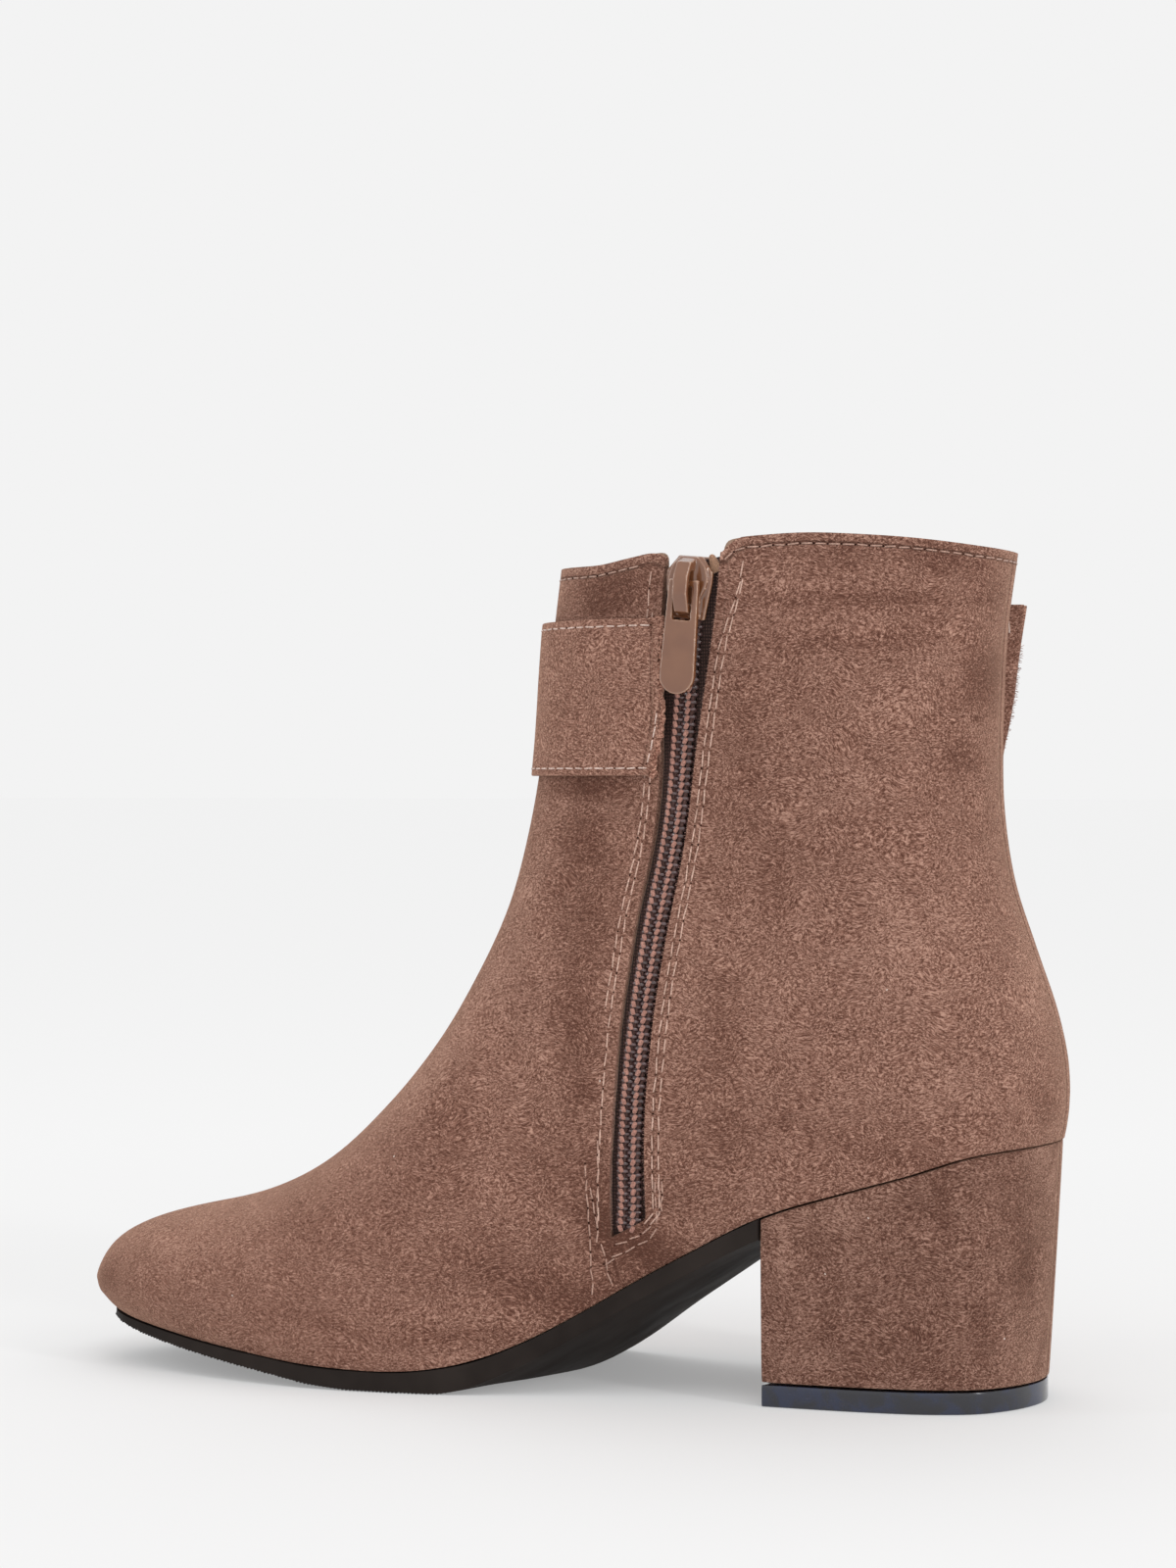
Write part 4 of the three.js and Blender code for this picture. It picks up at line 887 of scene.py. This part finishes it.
def zip_middle(course, z):
    """Y of the zip's middle at a height, straight on above the slider."""
    below = [hit for hit in course if hit[0].z <= z] or course[:2]
    above = [hit for hit in course if hit[0].z > z] or course[-2:]
    a = below[-1][0] if above is not course[-2:] else course[-2][0]
    b = above[0][0]
    if b.z == a.z:
        return a.y
    return a.y + (b.y - a.y) * (z - a.z) / (b.z - a.z)


def opening_edge(surface, course, z, way):
    """Y of the edge of the zip's opening, ahead of its middle (way 1) or behind it (-1)."""
    middle = zip_middle(course, z)

    def on_wall(y):
        return near_wall(surface.side(y, z))

    for y in steps(0, ZIP_REACH, 0.5 * MM):
        if on_wall(middle + way * y):
            return border(middle + way * y, middle, on_wall)
    return middle


def beside_opening(surface, course, way, offset, low=ZIP_FROM, high=ZIP_TO):
    """A line on the upper beside the opening. offset gives its distance from the edge at a height."""
    line = []
    for z in steps(low, high, 1.5 * MM):
        y = opening_edge(surface, course, z, way) + way * offset(z)
        hit = surface.side(y, z)
        if near_wall(hit):
            line.append(hit)
    return evened(line, 1)


def wire(name, spots, radius):
    """A round wire through some spots, as a mesh."""
    curve = bpy.data.curves.new(name, "CURVE")
    curve.dimensions = "3D"
    curve.bevel_depth = radius
    curve.bevel_resolution = 1
    curve.use_fill_caps = True
    spline = curve.splines.new("POLY")
    spline.points.add(len(spots) - 1)
    for point, spot in zip(spline.points, spots):
        point.co = (*spot, 1)
    work_on(added(name, curve))
    bpy.ops.object.convert(target="MESH")
    return smooth(bpy.context.object)


def coil_half(course, way):
    """One side's loops: a flattened helix that reaches just over the zip's middle."""
    reach = COIL_HALVES[way]
    spots = []
    for i, (point, along, normal) in enumerate(spaced(course, COIL_PITCH / COIL_STEPS)):
        turn = math.tau * i / COIL_STEPS + (math.pi if way > 0 else 0)
        across = normal.cross(along).normalized() * way
        centre = point + across * (reach - COIL_OVERLAP) - normal * (COIL_RISE + COIL_WIRE * 0.5)
        spot = centre + across * (reach * math.cos(turn)) + normal * (COIL_RISE * math.sin(turn))
        spots.append(spot + along * (COIL_SLANT * math.cos(turn)))
    return wire(f"zip_loops_{SIDES[way]}", spots, COIL_WIRE)


def coil_cord(course, way, beside):
    """A stuffing cord that lies inside the loops."""
    spots = []
    for point, along, normal in line_marks(course):
        across = normal.cross(along).normalized() * way
        spots.append(point + across * beside - normal * (COIL_RISE + COIL_WIRE))
    return wire(f"zip_cord_{SIDES[way]}", spots, CORD_RADIUS)


def rod():
    """A round rod, a unit long and thick."""
    bpy.ops.object.select_all(action="DESELECT")
    bpy.ops.mesh.primitive_cylinder_add(vertices=8, radius=0.5, depth=1)
    return bpy.context.object


def laid_along(piece, mode, shift=0.0):
    """Turns a template so that its axis lies along X, and shifts it along X."""
    edit(piece, mode, everything=True)
    bpy.ops.transform.rotate(value=math.pi / 2, orient_axis="Y", center_override=(0, 0, 0))
    if shift:
        bpy.ops.transform.translate(value=(shift, 0, 0))
    leave_edit()
    return piece


def make_thread():
    """One stitch, a unit long and thick, tapered at its ends."""
    return round_edges(laid_along(rod(), "EDGE"), 60, 0.22)


def make_hole_shade():
    """One needle hole's painted shade, a flat dark disc."""
    return round_edges(rod(), 60, 0.2, 1)


def make_hair():
    """One loose fibre, that starts at its seat."""
    bpy.ops.object.select_all(action="DESELECT")
    bpy.ops.mesh.primitive_cone_add(vertices=4, radius1=0.5, radius2=0.12, depth=1)
    return laid_along(bpy.context.object, "VERT", 0.5)


def sew(line, pitch, share=0.76, sway=0.09):
    """Seats of a row's threads, and of the needle holes between them."""
    threads = []
    for mark in spaced(line, pitch, pitch / 2):
        long = pitch * share * chance.uniform(0.9, 1.12)
        threads.append(seat(mark, (long, THREAD, THREAD), THREAD * 0.1, chance.uniform(-sway, sway)))
    holes = []
    for mark in spaced(line, pitch):
        if chance.random() < HOLES_CLOSED:
            continue
        wide = THREAD * chance.uniform(0.8, 1.35)
        holes.append(seat(mark, (wide, wide, HOLE_DEPTH), HOLE_LIFT))
    return threads, holes


def fuzz(line, pitch, outward, long):
    """Seats of loose fibres along a raw edge, that stand out toward one way."""
    seats = []
    for point, along, normal in spaced(line, pitch):
        way = outward + along * chance.uniform(-0.9, 0.9) + normal * chance.uniform(-0.2, 0.9)
        spot = point + along * chance.uniform(-pitch, pitch)
        mark = (spot, way.normalized(), normal)
        size = (long * chance.uniform(0.4, 1.2), HAIR, HAIR)
        seats.append(seat(mark, size, chance.uniform(-0.3, 0.1) * MM))
    return seats


# Strap

def strap_borders(surface, turn):
    """Heights of the strap's lower and upper edge on its outer face, seen from a turn."""
    middle = (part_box("strap")[0][2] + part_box("strap")[1][2]) / 2

    def on_strap(z):
        return surface.around(turn, z) is not None

    if not on_strap(middle):
        return None
    return border(middle, middle - STRAP_SEARCH, on_strap), border(middle, middle + STRAP_SEARCH, on_strap)


def make_strap():
    """The strap, with the lower part of its cut far end drawn in."""
    piece = smoothed("strap", "strap_band", STRAP_TURN, STRAP_ROUND)
    shares = []
    for point in piece.data.vertices:
        back = within((TAIL_FROM - point.co.y) / TAIL_REACH)
        down = within((TAIL_BELOW - point.co.z) / TAIL_FALL)
        if back * down > 0:
            shares.append((point.index, back * down))
    return smooth(push(piece, "cut_end", "Y", TAIL_DRAWN, shares))


# Heel and sole

def rounded_part(node, name, sharpness, rounding):
    return smooth(smoothed(node, name, sharpness, rounding))


def make_outsole():
    """The sole, with its tread's ground drawn in by the height of the ribs on it."""
    piece = cad_copy("outsole", "sole")
    shares = []
    for face in piece.data.polygons:
        if face.normal.z < TREAD_FACING:
            for i in face.vertices:
                ahead = piece.data.vertices[i].co.y - RIBS_FROM
                shares.append((i, within(ahead / RIBS_FADE)))
    push(piece, "tread", "Z", RIB_HEIGHT, shares)
    keep_size(piece, SOLE_TURN)
    round_edges(piece, SOLE_TURN, SOLE_ROUND)
    return smooth(subdivide(piece, 2))


def make_ribs(surface):
    """Fine ribs across the tread, from the toe to the waist."""
    low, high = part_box("outsole")
    foot = Vector((0, RIB_PITCH * RIB_FOOT, 0))
    top = Vector((0, RIB_PITCH * RIB_TOP, 0))
    points = []
    faces = []
    for y in steps(RIBS_FROM + RIBS_FADE * 0.6, RIBS_TO, RIB_PITCH):
        spots = [x for x in steps(low[0], high[0], 0.5 * MM) if surface.below(x, y)]
        if len(spots) < 4:
            continue
        first = len(points)
        marks = [surface.below(x, y)[0] for x in steps(spots[0] + 0.2 * MM, spots[-1] - 0.2 * MM, 3.0 * MM)]
        for mark in marks:
            base = mark + UP * (RIB_HEIGHT + 0.1 * MM)
            points += [base - foot, mark - top, mark + top, base + foot]
        for i in range(len(marks) - 1):
            a = first + 4 * i
            for side in range(4):
                other = (side + 1) % 4
                faces.append([a + side, a + other, a + 4 + other, a + 4 + side])
        last = first + 4 * (len(marks) - 1)
        faces.append([first + 3, first + 2, first + 1, first])
        faces.append([last, last + 1, last + 2, last + 3])
    mesh = bpy.data.meshes.new("tread_ribs")
    mesh.from_pydata(points, [], faces)
    piece = added("tread_ribs", mesh)
    edit(piece, "FACE", everything=True)
    bpy.ops.mesh.normals_make_consistent(inside=False)
    leave_edit()
    return smooth(piece, 30)


# Slider and pull

def cast_part(node, name, rounds):
    """An enamelled casting: the node's form with its edges drowned in thick enamel."""
    piece = cad_copy(node, name)
    finish_with(piece, "REMESH", mode="VOXEL", voxel_size=CAST_CELL)
    finish_with(piece, "SMOOTH", factor=0.5, iterations=rounds)
    return smooth(piece, 80)


def finish_node(node, material):
    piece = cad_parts[node]
    piece.data.materials.clear()
    piece.data.materials.append(material)


# Stage

def in_view(parts):
    """A vector given by its parts along the view, to its right and up."""
    return VIEW * parts[0] + RIGHT * parts[1] + UP * parts[2]


def turned(holder, way, axis):
    """Turns a lamp or camera so that one of its axes points along a way."""
    holder.rotation_mode = "QUATERNION"
    holder.rotation_quaternion = way.to_track_quat(axis, "Y")


def make_stage():
    scene = bpy.context.scene
    scene.view_settings.view_transform = "Standard"
    bpy.ops.object.select_all(action="DESELECT")
    bpy.ops.mesh.primitive_plane_add(size=FLOOR_SIZE, location=(0, 0, 0))
    floor = bpy.context.object
    floor.name = "floor"
    s = Shader("floor_paper")
    far = s.spread(s.vector("LENGTH", s.place, output=1), *FLOOR_SPAN)
    white = s.mix(far, (*[FLOOR_WHITE] * 3, 1), (*[FAR_WHITE] * 3, 1))
    floor.data.materials.append(s.finish(
        Base_Color=white,
        Roughness=1.0,
        Specular_IOR_Level=0.0,
        Emission_Color=(1, 1, 1, 1),
        Emission_Strength=FLOOR_GLOW,
    ))

    world = bpy.data.worlds.new("studio")
    scene.world = world
    world.use_nodes = True
    world.node_tree.nodes["Background"].inputs["Color"].default_value = (1, 1, 1, 1)
    world.node_tree.nodes["Background"].inputs["Strength"].default_value = SKY_WHITE

    for name, way, power, spread in SUNS:
        lamp = bpy.data.lights.new(name, "SUN")
        lamp.energy = power
        lamp.angle = math.radians(spread)
        turned(added(name, lamp), in_view(way), "-Z")
    for name, spot, wide, power in STRIPS:
        lamp = bpy.data.lights.new(name, "AREA")
        lamp.shape = "RECTANGLE"
        lamp.size = wide
        lamp.size_y = STRIP_HEIGHT
        lamp.energy = power
        holder = added(name, lamp)
        holder.location = in_view(spot)
        turned(holder, in_view((*spot[:2], 0)).normalized(), "Z")

    camera = bpy.data.cameras.new("camera")
    camera.lens = CAMERA_LENS
    camera.sensor_width = CAMERA_SENSOR
    camera.clip_start = CLIP_START
    scene.camera = added("camera", camera)
    scene.camera.location = CAMERA_PLACE
    turned(scene.camera, VIEW, "-Z")


# Marks and rows that follow the photograph

# Marks on the inner side, painted into the suede's colour: painted shadow under the strap, painted shade in
# dents, darker low on the vamp, painted highlights along the vamp's top edge, painted light on the back of
# the shaft, and darker and lighter patches of the nap. Each: pixel of the photograph, half length and height
# in mm, turn in degrees, amount
UPPER_LIGHT_SHADE_AND_MOTTLE = (
    ((108, 1302), (7, 8), -35, -0.45),
    ((140, 1262), (12, 7), -35, 0.12),
    ((200, 1215), (26, 7), -22, 0.22),
    ((330, 1160), (24, 8), -24, 0.20),
    ((440, 1090), (26, 9), -46, 0.34),
    ((500, 1010), (26, 9), -54, 0.32),
    ((540, 900), (20, 6), -66, 0.26),
    ((170, 1275), (16, 8), -20, 0.20),
    ((470, 1365), (26, 4.5), -4, -0.42),
    ((330, 1350), (22, 3.5), 14, -0.25),
    ((620, 602), (18, 7), -8, -0.85),
    ((625, 618), (16, 3), -4, -0.45),
    ((600, 803), (16, 5), 0, -1.0),
    ((598, 850), (10, 13), 0, -0.50),
    ((599, 925), (15, 25), 0, -0.46),
    ((585, 1030), (10, 20), 6, -0.46),
    ((594, 1112), (5, 5), 0, -0.50),
    ((588, 1100), (9, 18), 0, -0.30),
    ((560, 1190), (14, 18), 0, -0.18),
    ((612, 1225), (9, 15), 0, -0.60),
    ((655, 1268), (22, 8), 26, -0.95),
    ((590, 1325), (26, 9), 10, -0.70),
    ((642, 1288), (15, 10), 20, -0.50),
    ((627, 1289), (0.5, 7.5), -10, -1.2),
    ((500, 1290), (24, 10), 0, -0.26),
    ((800, 1142), (6, 5), 0, -0.42),
    ((735, 1160), (12, 8), 0, -0.22),
    ((790, 900), (8, 18), 0, -0.36),
    ((740, 1040), (8, 22), 4, -0.34),
    ((765, 760), (7, 30), 0, -0.28),
    ((880, 560), (40, 6), 0, -0.22),
    ((870, 612), (42, 3.6), 0, -0.40),
    ((860, 655), (34, 4.5), 0, -0.34),
    ((1012, 612), (7, 9), 0, -0.42),
    ((1006, 690), (8, 14), 0, -0.85),
    ((975, 572), (13, 6), 0, -0.35),
    ((997, 733), (1.8, 1.3), 0, -0.80),
    ((982, 772), (7, 7), 0, -0.60),
    ((800, 700), (20, 10), 0, -0.14),
    ((905, 725), (14, 7), -12, 0.24),
    ((870, 800), (16, 8), 0, 0.12),
    ((930, 960), (26, 30), 0, 0.30),
    ((900, 1000), (22, 16), 0, 0.14),
    ((1000, 1120), (22, 8), 0, 0.12),
    ((1045, 1010), (9, 20), 0, 0.30),
    ((1066, 1125), (5, 8), 0, -0.45),
    ((930, 1110), (26, 10), 0, 0.14),
    ((930, 1185), (40, 3.5), 12, -0.30),
    ((700, 1230), (9, 6), 0, -0.16),
)

# The same on the heel: painted shade along its back edge and under the upper's edge, lighter along its front
# edge, and darker and lighter streaks of the nap
HEEL_LIGHT_SHADE_AND_MOTTLE = (
    ((800, 1270), (2.2, 24), 0, 0.30),
    ((1046, 1270), (7, 28), 0, -0.45),
    ((870, 1200), (20, 3), 12, -0.30),
    ((1040, 1165), (12, 3), 8, -0.30),
    ((905, 1330), (5, 9), 0, 0.30),
    ((1000, 1350), (4, 12), 0, -0.32),
    ((850, 1330), (4, 12), 0, -0.25),
    ((960, 1240), (4, 14), 0, -0.28),
    ((820, 1385), (8, 3), 0, 0.20),
)

# Sewing round the zip's foot, as pixels of the photograph
FOOT_ROWS = (
    ((610, 1163), (609.5, 1263), (616, 1277), (619, 1290), (622, 1304), (626, 1316)),
    ((597, 1187), (598, 1205), (600, 1235), (602, 1262), (603, 1290), (605, 1322)),
    ((602, 1210), (605, 1228), (609, 1248)),
    ((668, 1204), (669, 1225), (670, 1244)),
    ((676, 1204), (675, 1225), (671, 1243)),
    ((672, 1208), (674, 1226), (675, 1240)),
    ((665, 1250), (659, 1256), (651, 1261), (640, 1266), (627, 1271)),
    ((671, 1253), (665, 1261), (656, 1268), (641, 1276), (629, 1281)),
    ((616, 1290), (621, 1289), (626, 1284)),
)

# The strap's far end, seen past the back of the shaft: row of the photograph, its left and right pixel
STRAP_TAIL = (
    (617, 1026, 1045),
    (650, 1024, 1042),
    (690, 1021, 1037),
    (715, 1019, 1034),
    (735, 1018, 1031),
    (755, 1017, 1027),
    (769, 1016, 1021),
)

# Its frayed edge, and the bright threads beside the shaft, as pixels
TAIL_SEEN = (1041, 640)
TAIL_EDGE = ((1040, 660), (1034, 705), (1029, 735), (1024, 755), (1019, 767))
TAIL_THREADS = (
    ((1029, 632), (1030, 645)),
    ((1026, 652), (1027, 658)),
    ((1024, 676), (1025, 682)),
)
TAIL_THREAD = (1.0 * MM, 0.35 * MM, 0.3 * MM)

# Bits of lint on the nap, as pixels
LINT = (0.45 * MM, 0.3 * MM, 0.2 * MM)
UPPER_LINT = ((237, 1322), (612, 1103), (905, 1010), (402, 1180))
HEEL_LINT = ((1025, 1366), (842, 1300), (886, 1243))

# Stiffened ends of the zip's tapes: width of their points, rounding and how far out they lie, as shares.
# Then for each its side, pixel, size and turn, and its cloth's name and colour
TAPE_POINT = 0.35
TAPE_ROUND = 0.14
TAPE_OUT = 0.3
TAPE_ENDS = (
    ("back", (729, 575), (1.2 * MM, 3.4 * MM, 4.4 * MM), -0.35, ("stiffened_tape", 204, 160, 128)),
    ("front", (690, 566), (1.0 * MM, 3.0 * MM, 3.6 * MM), 0.25, ("pink_tape", 190, 140, 122)),
)


def marked(skin, marks):
    """The same marks at their places on a skin."""
    found = []
    for pixel, size, turn, amount in marks:
        hit = skin.seen(pixel)
        if hit:
            found.append((hit[0], size, turn, amount))
    return found


def opening_line(way, inside, step, top=ZIP_TO):
    """Hits on the upper a little inside one edge of the zip's opening."""
    hits = [upper_skin.side(opening_edge(upper_skin, course, z, way) + way * inside, z)
            for z in steps(ZIP_FROM, top, step)]
    return kept(hits)


def raw_end(skin):
    """Hits along the strap's raw end beside the zip."""
    low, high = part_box("strap")
    hits = []
    for z in steps(low[2], high[2], 0.4 * MM):
        def on_strap(y):
            return near_wall(skin.side(y, z))
        if on_strap(STRAP_INSIDE):
            hits.append(skin.side(border(STRAP_INSIDE, STRAP_OUTSIDE, on_strap) + EDGE_IN, z))
    return kept(hits)


def strap_rows(skin):
    """The strap's two stitch rows, inside its upper and its lower edge."""
    top = []
    foot = []
    for turn in steps(*STRAP_TURNS, 1.0):
        heights = strap_borders(skin, turn)
        if heights:
            top.append(skin.around(turn, heights[1] - STRAP_ROW))
            foot.append(skin.around(turn, heights[0] + STRAP_ROW))
    return [(evened(kept(row), 1), EDGE_STITCH) for row in (top, foot)]


def below_rim(turn):
    """A point on the upper's outside, a stitch row's distance below the collar."""
    for z in reversed(steps(*COLLAR_HEIGHTS, 0.25 * MM)):
        if upper_skin.around(turn, z):
            return upper_skin.around(turn, z - COLLAR_ROW)
    return None


def zip_row(way, at_foot, at_collar, **ends):
    """A row beside the opening, at distances in mm from its edge at its foot and at the collar."""
    start, length = ROWS_PART

    def offset(z):
        share = within((z - start) / length)
        return (at_foot + (at_collar - at_foot) * share * share * (3 - 2 * share)) * MM

    return beside_opening(upper_skin, course, way, offset, **ends), ZIP_STITCH


def lay_rows(name, rows, material, **how):
    """Sews rows of one kind as one piece, and keeps their needle holes for one more."""
    seats = []
    for line, pitch in rows:
        if len(line) > 2:
            threads, holes = sew(line, pitch, **how)
            seats += threads
            all_holes.extend(holes)
    place(joined_copies(stitch, name, seats), BOOT, material, "suede")


def make_strap_tail(beside):
    """The cut end of the strap, turned in toward the shaft."""
    bpy.ops.object.select_all(action="DESELECT")
    bpy.ops.mesh.primitive_grid_add(x_subdivisions=4, y_subdivisions=len(STRAP_TAIL) - 1, size=1)
    piece = bpy.context.object
    for point in piece.data.vertices:
        row, left, right = STRAP_TAIL[round((0.5 - point.co.y) * (len(STRAP_TAIL) - 1))]
        way = sight((left + (right - left) * (point.co.x + 0.5), row))
        point.co = CAMERA_PLACE + way * ((beside - CAMERA_PLACE).dot(VIEW) / way.dot(VIEW))
    finish_with(piece, "SOLIDIFY", thickness=TAIL_THICK, offset=1.0)
    edit(piece, "FACE", everything=True)
    bpy.ops.mesh.normals_make_consistent(inside=False)
    leave_edit()
    round_edges(piece, 45, 0.25 * MM, 2)
    return smooth(subdivide(piece, 2))


def make_tape_end(name, skin, pixel, size, turn):
    """A stiffened end of the zip's tape, cut to a blunt point, lying on a skin."""
    hit = skin.seen(pixel)
    if not hit:
        return None
    bpy.ops.object.select_all(action="DESELECT")
    bpy.ops.mesh.primitive_cube_add(size=1)
    piece = bpy.context.object
    piece.name = name
    pick(piece, lambda face: face.normal.z > 0.9)
    bpy.ops.transform.resize(value=(1, TAPE_POINT, 1), center_override=(0, 0, 0))
    leave_edit()
    round_edges(piece, 40, TAPE_ROUND)
    seated = Matrix.Translation(hit[0] - VIEW * size[0] * TAPE_OUT) @ Matrix.Rotation(turn, 4, "X")
    piece.data.transform(seated @ Matrix.Diagonal((*size, 1)))
    return smooth(subdivide(piece, 2))


def make_raw_edge(line):
    """The lumpy cut edge of the strap, as many short tufts."""
    lumps = []
    for point, along, normal in spaced(line, LUMP_PITCH):
        size = [chance.uniform(*span) * MM for span in (LUMP_LONG, LUMP_WIDE, LUMP_THICK)]
        mark = (point + TO_ZIP * chance.uniform(*LUMP_OUT) * MM, along, normal)
        lumps.append(seat(mark, size, chance.uniform(*LUMP_LIFT) * MM, chance.uniform(*LUMP_TURN)))
    return joined_copies(stitch, "strap_raw_edge", lumps)


# Putting it together

upper = make_upper()
upper_skin = Surface(upper)
course = coil_course(Surface(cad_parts["zip_coil"]))
heel = rounded_part("heel", "heel_cover", HEEL_TURN, HEEL_ROUND)
rim = [face.center for face in upper.data.polygons if face.normal.z > RIM_FACING and face.center.z > RIM_FROM]
edges = opening_line(1, 0.05 * MM, 0.5 * MM) + opening_line(-1, 0.05 * MM, 0.5 * MM)
measure(upper, "from_collar", rim)
measure(upper, "from_zip", [hit[0] for hit in edges])
measure(upper, "from_heel", [point.co for point in heel.data.vertices])
# The collar's stitch line, the upper's edge along the heel and a line beside the zip are painted darker as
# painted shade; the collar's rolled rim is painted lighter as a painted highlight. The marks paint shadow,
# shade and highlights as well as mottling.
upper_suede = suede("upper_suede", 1.0, 0.0, marked(upper_skin, UPPER_LIGHT_SHADE_AND_MOTTLE), (
    ("from_collar", COLLAR_ROW / MM, 0.55, 1.0),
    ("from_collar", 0.7, 1.2, -0.35),
    ("from_heel", 0.0, 1.6, 0.7),
    ("from_zip", 2.0, 0.4, 0.35),
), seam=0.9)
place(upper, BOOT, upper_suede, "suede", ["upper"])
make_lining()

strap = make_strap()
strap_skin = Surface(strap)
strap_end = raw_end(strap_skin)
measure(strap, "from_end", [hit[0] for hit in strap_end])
# The groove beside the strap's cut end is painted darker as painted shade; the band along the end is painted
# lighter.
strap_suede = suede("strap_suede", 1.06, 0.3, creases=(
    ("from_end", 1.9, 0.45, 0.7),
    ("from_end", 0.2, 1.3, -0.5),
))
place(strap, BOOT, strap_suede, "suede", ["strap"])
heel_skin = Surface(heel)
# The heel's marks and seam paint shade and light into its colour, besides its streaks and mottling.
heel_suede = suede("heel_suede", 0.92, 0.7, marked(heel_skin, HEEL_LIGHT_SHADE_AND_MOTTLE), streaks=0.2, seam=0.8, mottle=0.3)
place(heel, BOOT, heel_suede, "suede", ["heel"])
top_piece = rounded_part("heel_tip", "top_piece", HEEL_TURN, TIP_ROUND)
place(top_piece, BOOT, plastic("tip_plastic"), "tip_plastic", ["heel_tip"])
sole_rubber = rubber("sole_rubber")
place(make_outsole(), BOOT, sole_rubber, "outsole_rubber", ["outsole"])
place(make_ribs(Surface(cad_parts["outsole"])), BOOT, sole_rubber, "outsole_rubber")
insole_cloth = lining_cloth("insole_cloth", (156, 134, 114), (178, 156, 136))
inner_sole = rounded_part("insole", "inner_sole", SOLE_TURN, INSOLE_ROUND)
place(inner_sole, BOOT, insole_cloth, "insole_cloth", ["insole"])

coil_nylon = nylon("coil_nylon")
tape_cloth = tape_weave("tape_cloth")
place(coil_half(course, 1), BOOT, coil_nylon, "coil_nylon", ["zip_coil"])
place(coil_half(course, -1), BOOT, coil_nylon, "coil_nylon")
coil_cotton = sewing_thread("coil_thread", 190, 136, 120)
cord_cotton = sewing_thread("cord_thread", 112, 76, 68)
for way in SIDES:
    for beside in CORD_BESIDE:
        place(coil_cord(course, way, beside), BOOT, cord_cotton, "tape_cloth")
finish_node("zip_tape_front", tape_cloth)
finish_node("zip_tape_back", tape_cloth)
slider_enamel = enamel("slider_enamel")
place(cast_part("zip_slider", "slider_body", 44), BOOT, slider_enamel, "enamel", ["zip_slider"])
place(cast_part("zip_pull", "pull_tab", 34), PULL, slider_enamel, "enamel", ["zip_pull"])

# Sewing
stitch = make_thread()
hole = make_hole_shade()
hair = make_hair()
all_holes = []
tonal_thread = sewing_thread("tonal_thread", 204, 164, 146)
lay_rows("zip_stitches", (
    zip_row(-1, 1.9, 5.4),
    zip_row(-1, 3.4, 5.8),
    zip_row(1, 2.7, 2.4, high=ROW_ENDS),
    zip_row(1, 4.1, 3.6, low=SECOND_ROW),
), sewing_thread("pale_thread", 232, 194, 176))
collar_line = evened(kept(below_rim(turn) for turn in steps(*COLLAR_TURNS, 1.0)), 2)
lay_rows("collar_stitches", ((collar_line, EDGE_STITCH),), tonal_thread)
lay_rows("strap_stitches", strap_rows(strap_skin), sewing_thread("bright_thread", 248, 222, 210))
lay_rows("foot_stitches", [(upper_skin.line(row), FOOT_STITCH) for row in FOOT_ROWS], tonal_thread,
         share=0.8, sway=0.16)
coil_threads = []
for way in SIDES:
    for point, along, normal in spaced(course, COIL_PITCH):
        across = normal.cross(along).normalized() * way
        mark = (point + across * COIL_THREAD, along, normal)
        coil_threads.append(seat(mark, COIL_STITCH, COIL_STITCH_LIFT, COIL_STITCH_TURN * way))
place(joined_copies(stitch, "coil_stitches", coil_threads), BOOT, coil_cotton, "tape_cloth")
# Dark discs of painted shade where the needle went through.
place(joined_copies(hole, "needle_hole_shade", all_holes), BOOT, hole_shade("hole_painted_shade"), "suede")

# Raw edges and lint
fibres = []
lint = []
tail_hit = strap_skin.seen(TAIL_SEEN)
if tail_hit:
    tail = make_strap_tail(tail_hit[0])
    tail_skin = Surface(tail, strap)
    place(tail, BOOT, suede("strap_tail_suede", 0.98, 0.45), "suede")
    fibres += fuzz(tail_skin.line(TAIL_EDGE), pitch=0.15 * MM, outward=RIGHT, long=1.1 * MM)
    for ends in TAIL_THREADS:
        lint += [seat(mark, TAIL_THREAD) for mark in spaced(tail_skin.line(ends), 0.9 * MM)]
specks = [upper_skin.seen(pixel) for pixel in UPPER_LINT] + [heel_skin.seen(pixel) for pixel in HEEL_LINT]
for hit in kept(specks):
    lint.append(seat((hit[0], UP, hit[1]), LINT, 0.0, chance.uniform(-1, 1)))
place(joined_copies(stitch, "lint", lint), BOOT, sewing_thread("lint_fibre", 252, 236, 226), "suede")
for side, pixel, size, turn, cloth in TAPE_ENDS:
    tape_skin = Surface(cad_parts[f"zip_tape_{side}"])
    tape_end = make_tape_end(f"tape_end_{side}", tape_skin, pixel, size, turn)
    if tape_end:
        place(tape_end, BOOT, sewing_thread(*cloth), "tape_cloth")
place(make_raw_edge(strap_end), BOOT, suede("raw_edge_suede", 1.18, 0.6), "suede")
front_edge = opening_line(1, EDGE_IN, 1 * MM, ZIP_TO - 3 * MM)
back_edge = opening_line(-1, EDGE_IN, 1 * MM)
fibres += fuzz(strap_end, pitch=0.1 * MM, outward=TO_ZIP, long=0.9 * MM)
fibres += fuzz(front_edge, pitch=0.25 * MM, outward=TO_ZIP, long=0.7 * MM)
fibres += fuzz(back_edge, pitch=0.4 * MM, outward=-TO_ZIP, long=0.5 * MM)
place(joined_copies(hair, "edge_fibres", fibres), BOOT, sewing_thread("fibre", 176, 132, 118), "suede")

for template in (stitch, hole, hair):
    bpy.data.objects.remove(template)
make_stage()
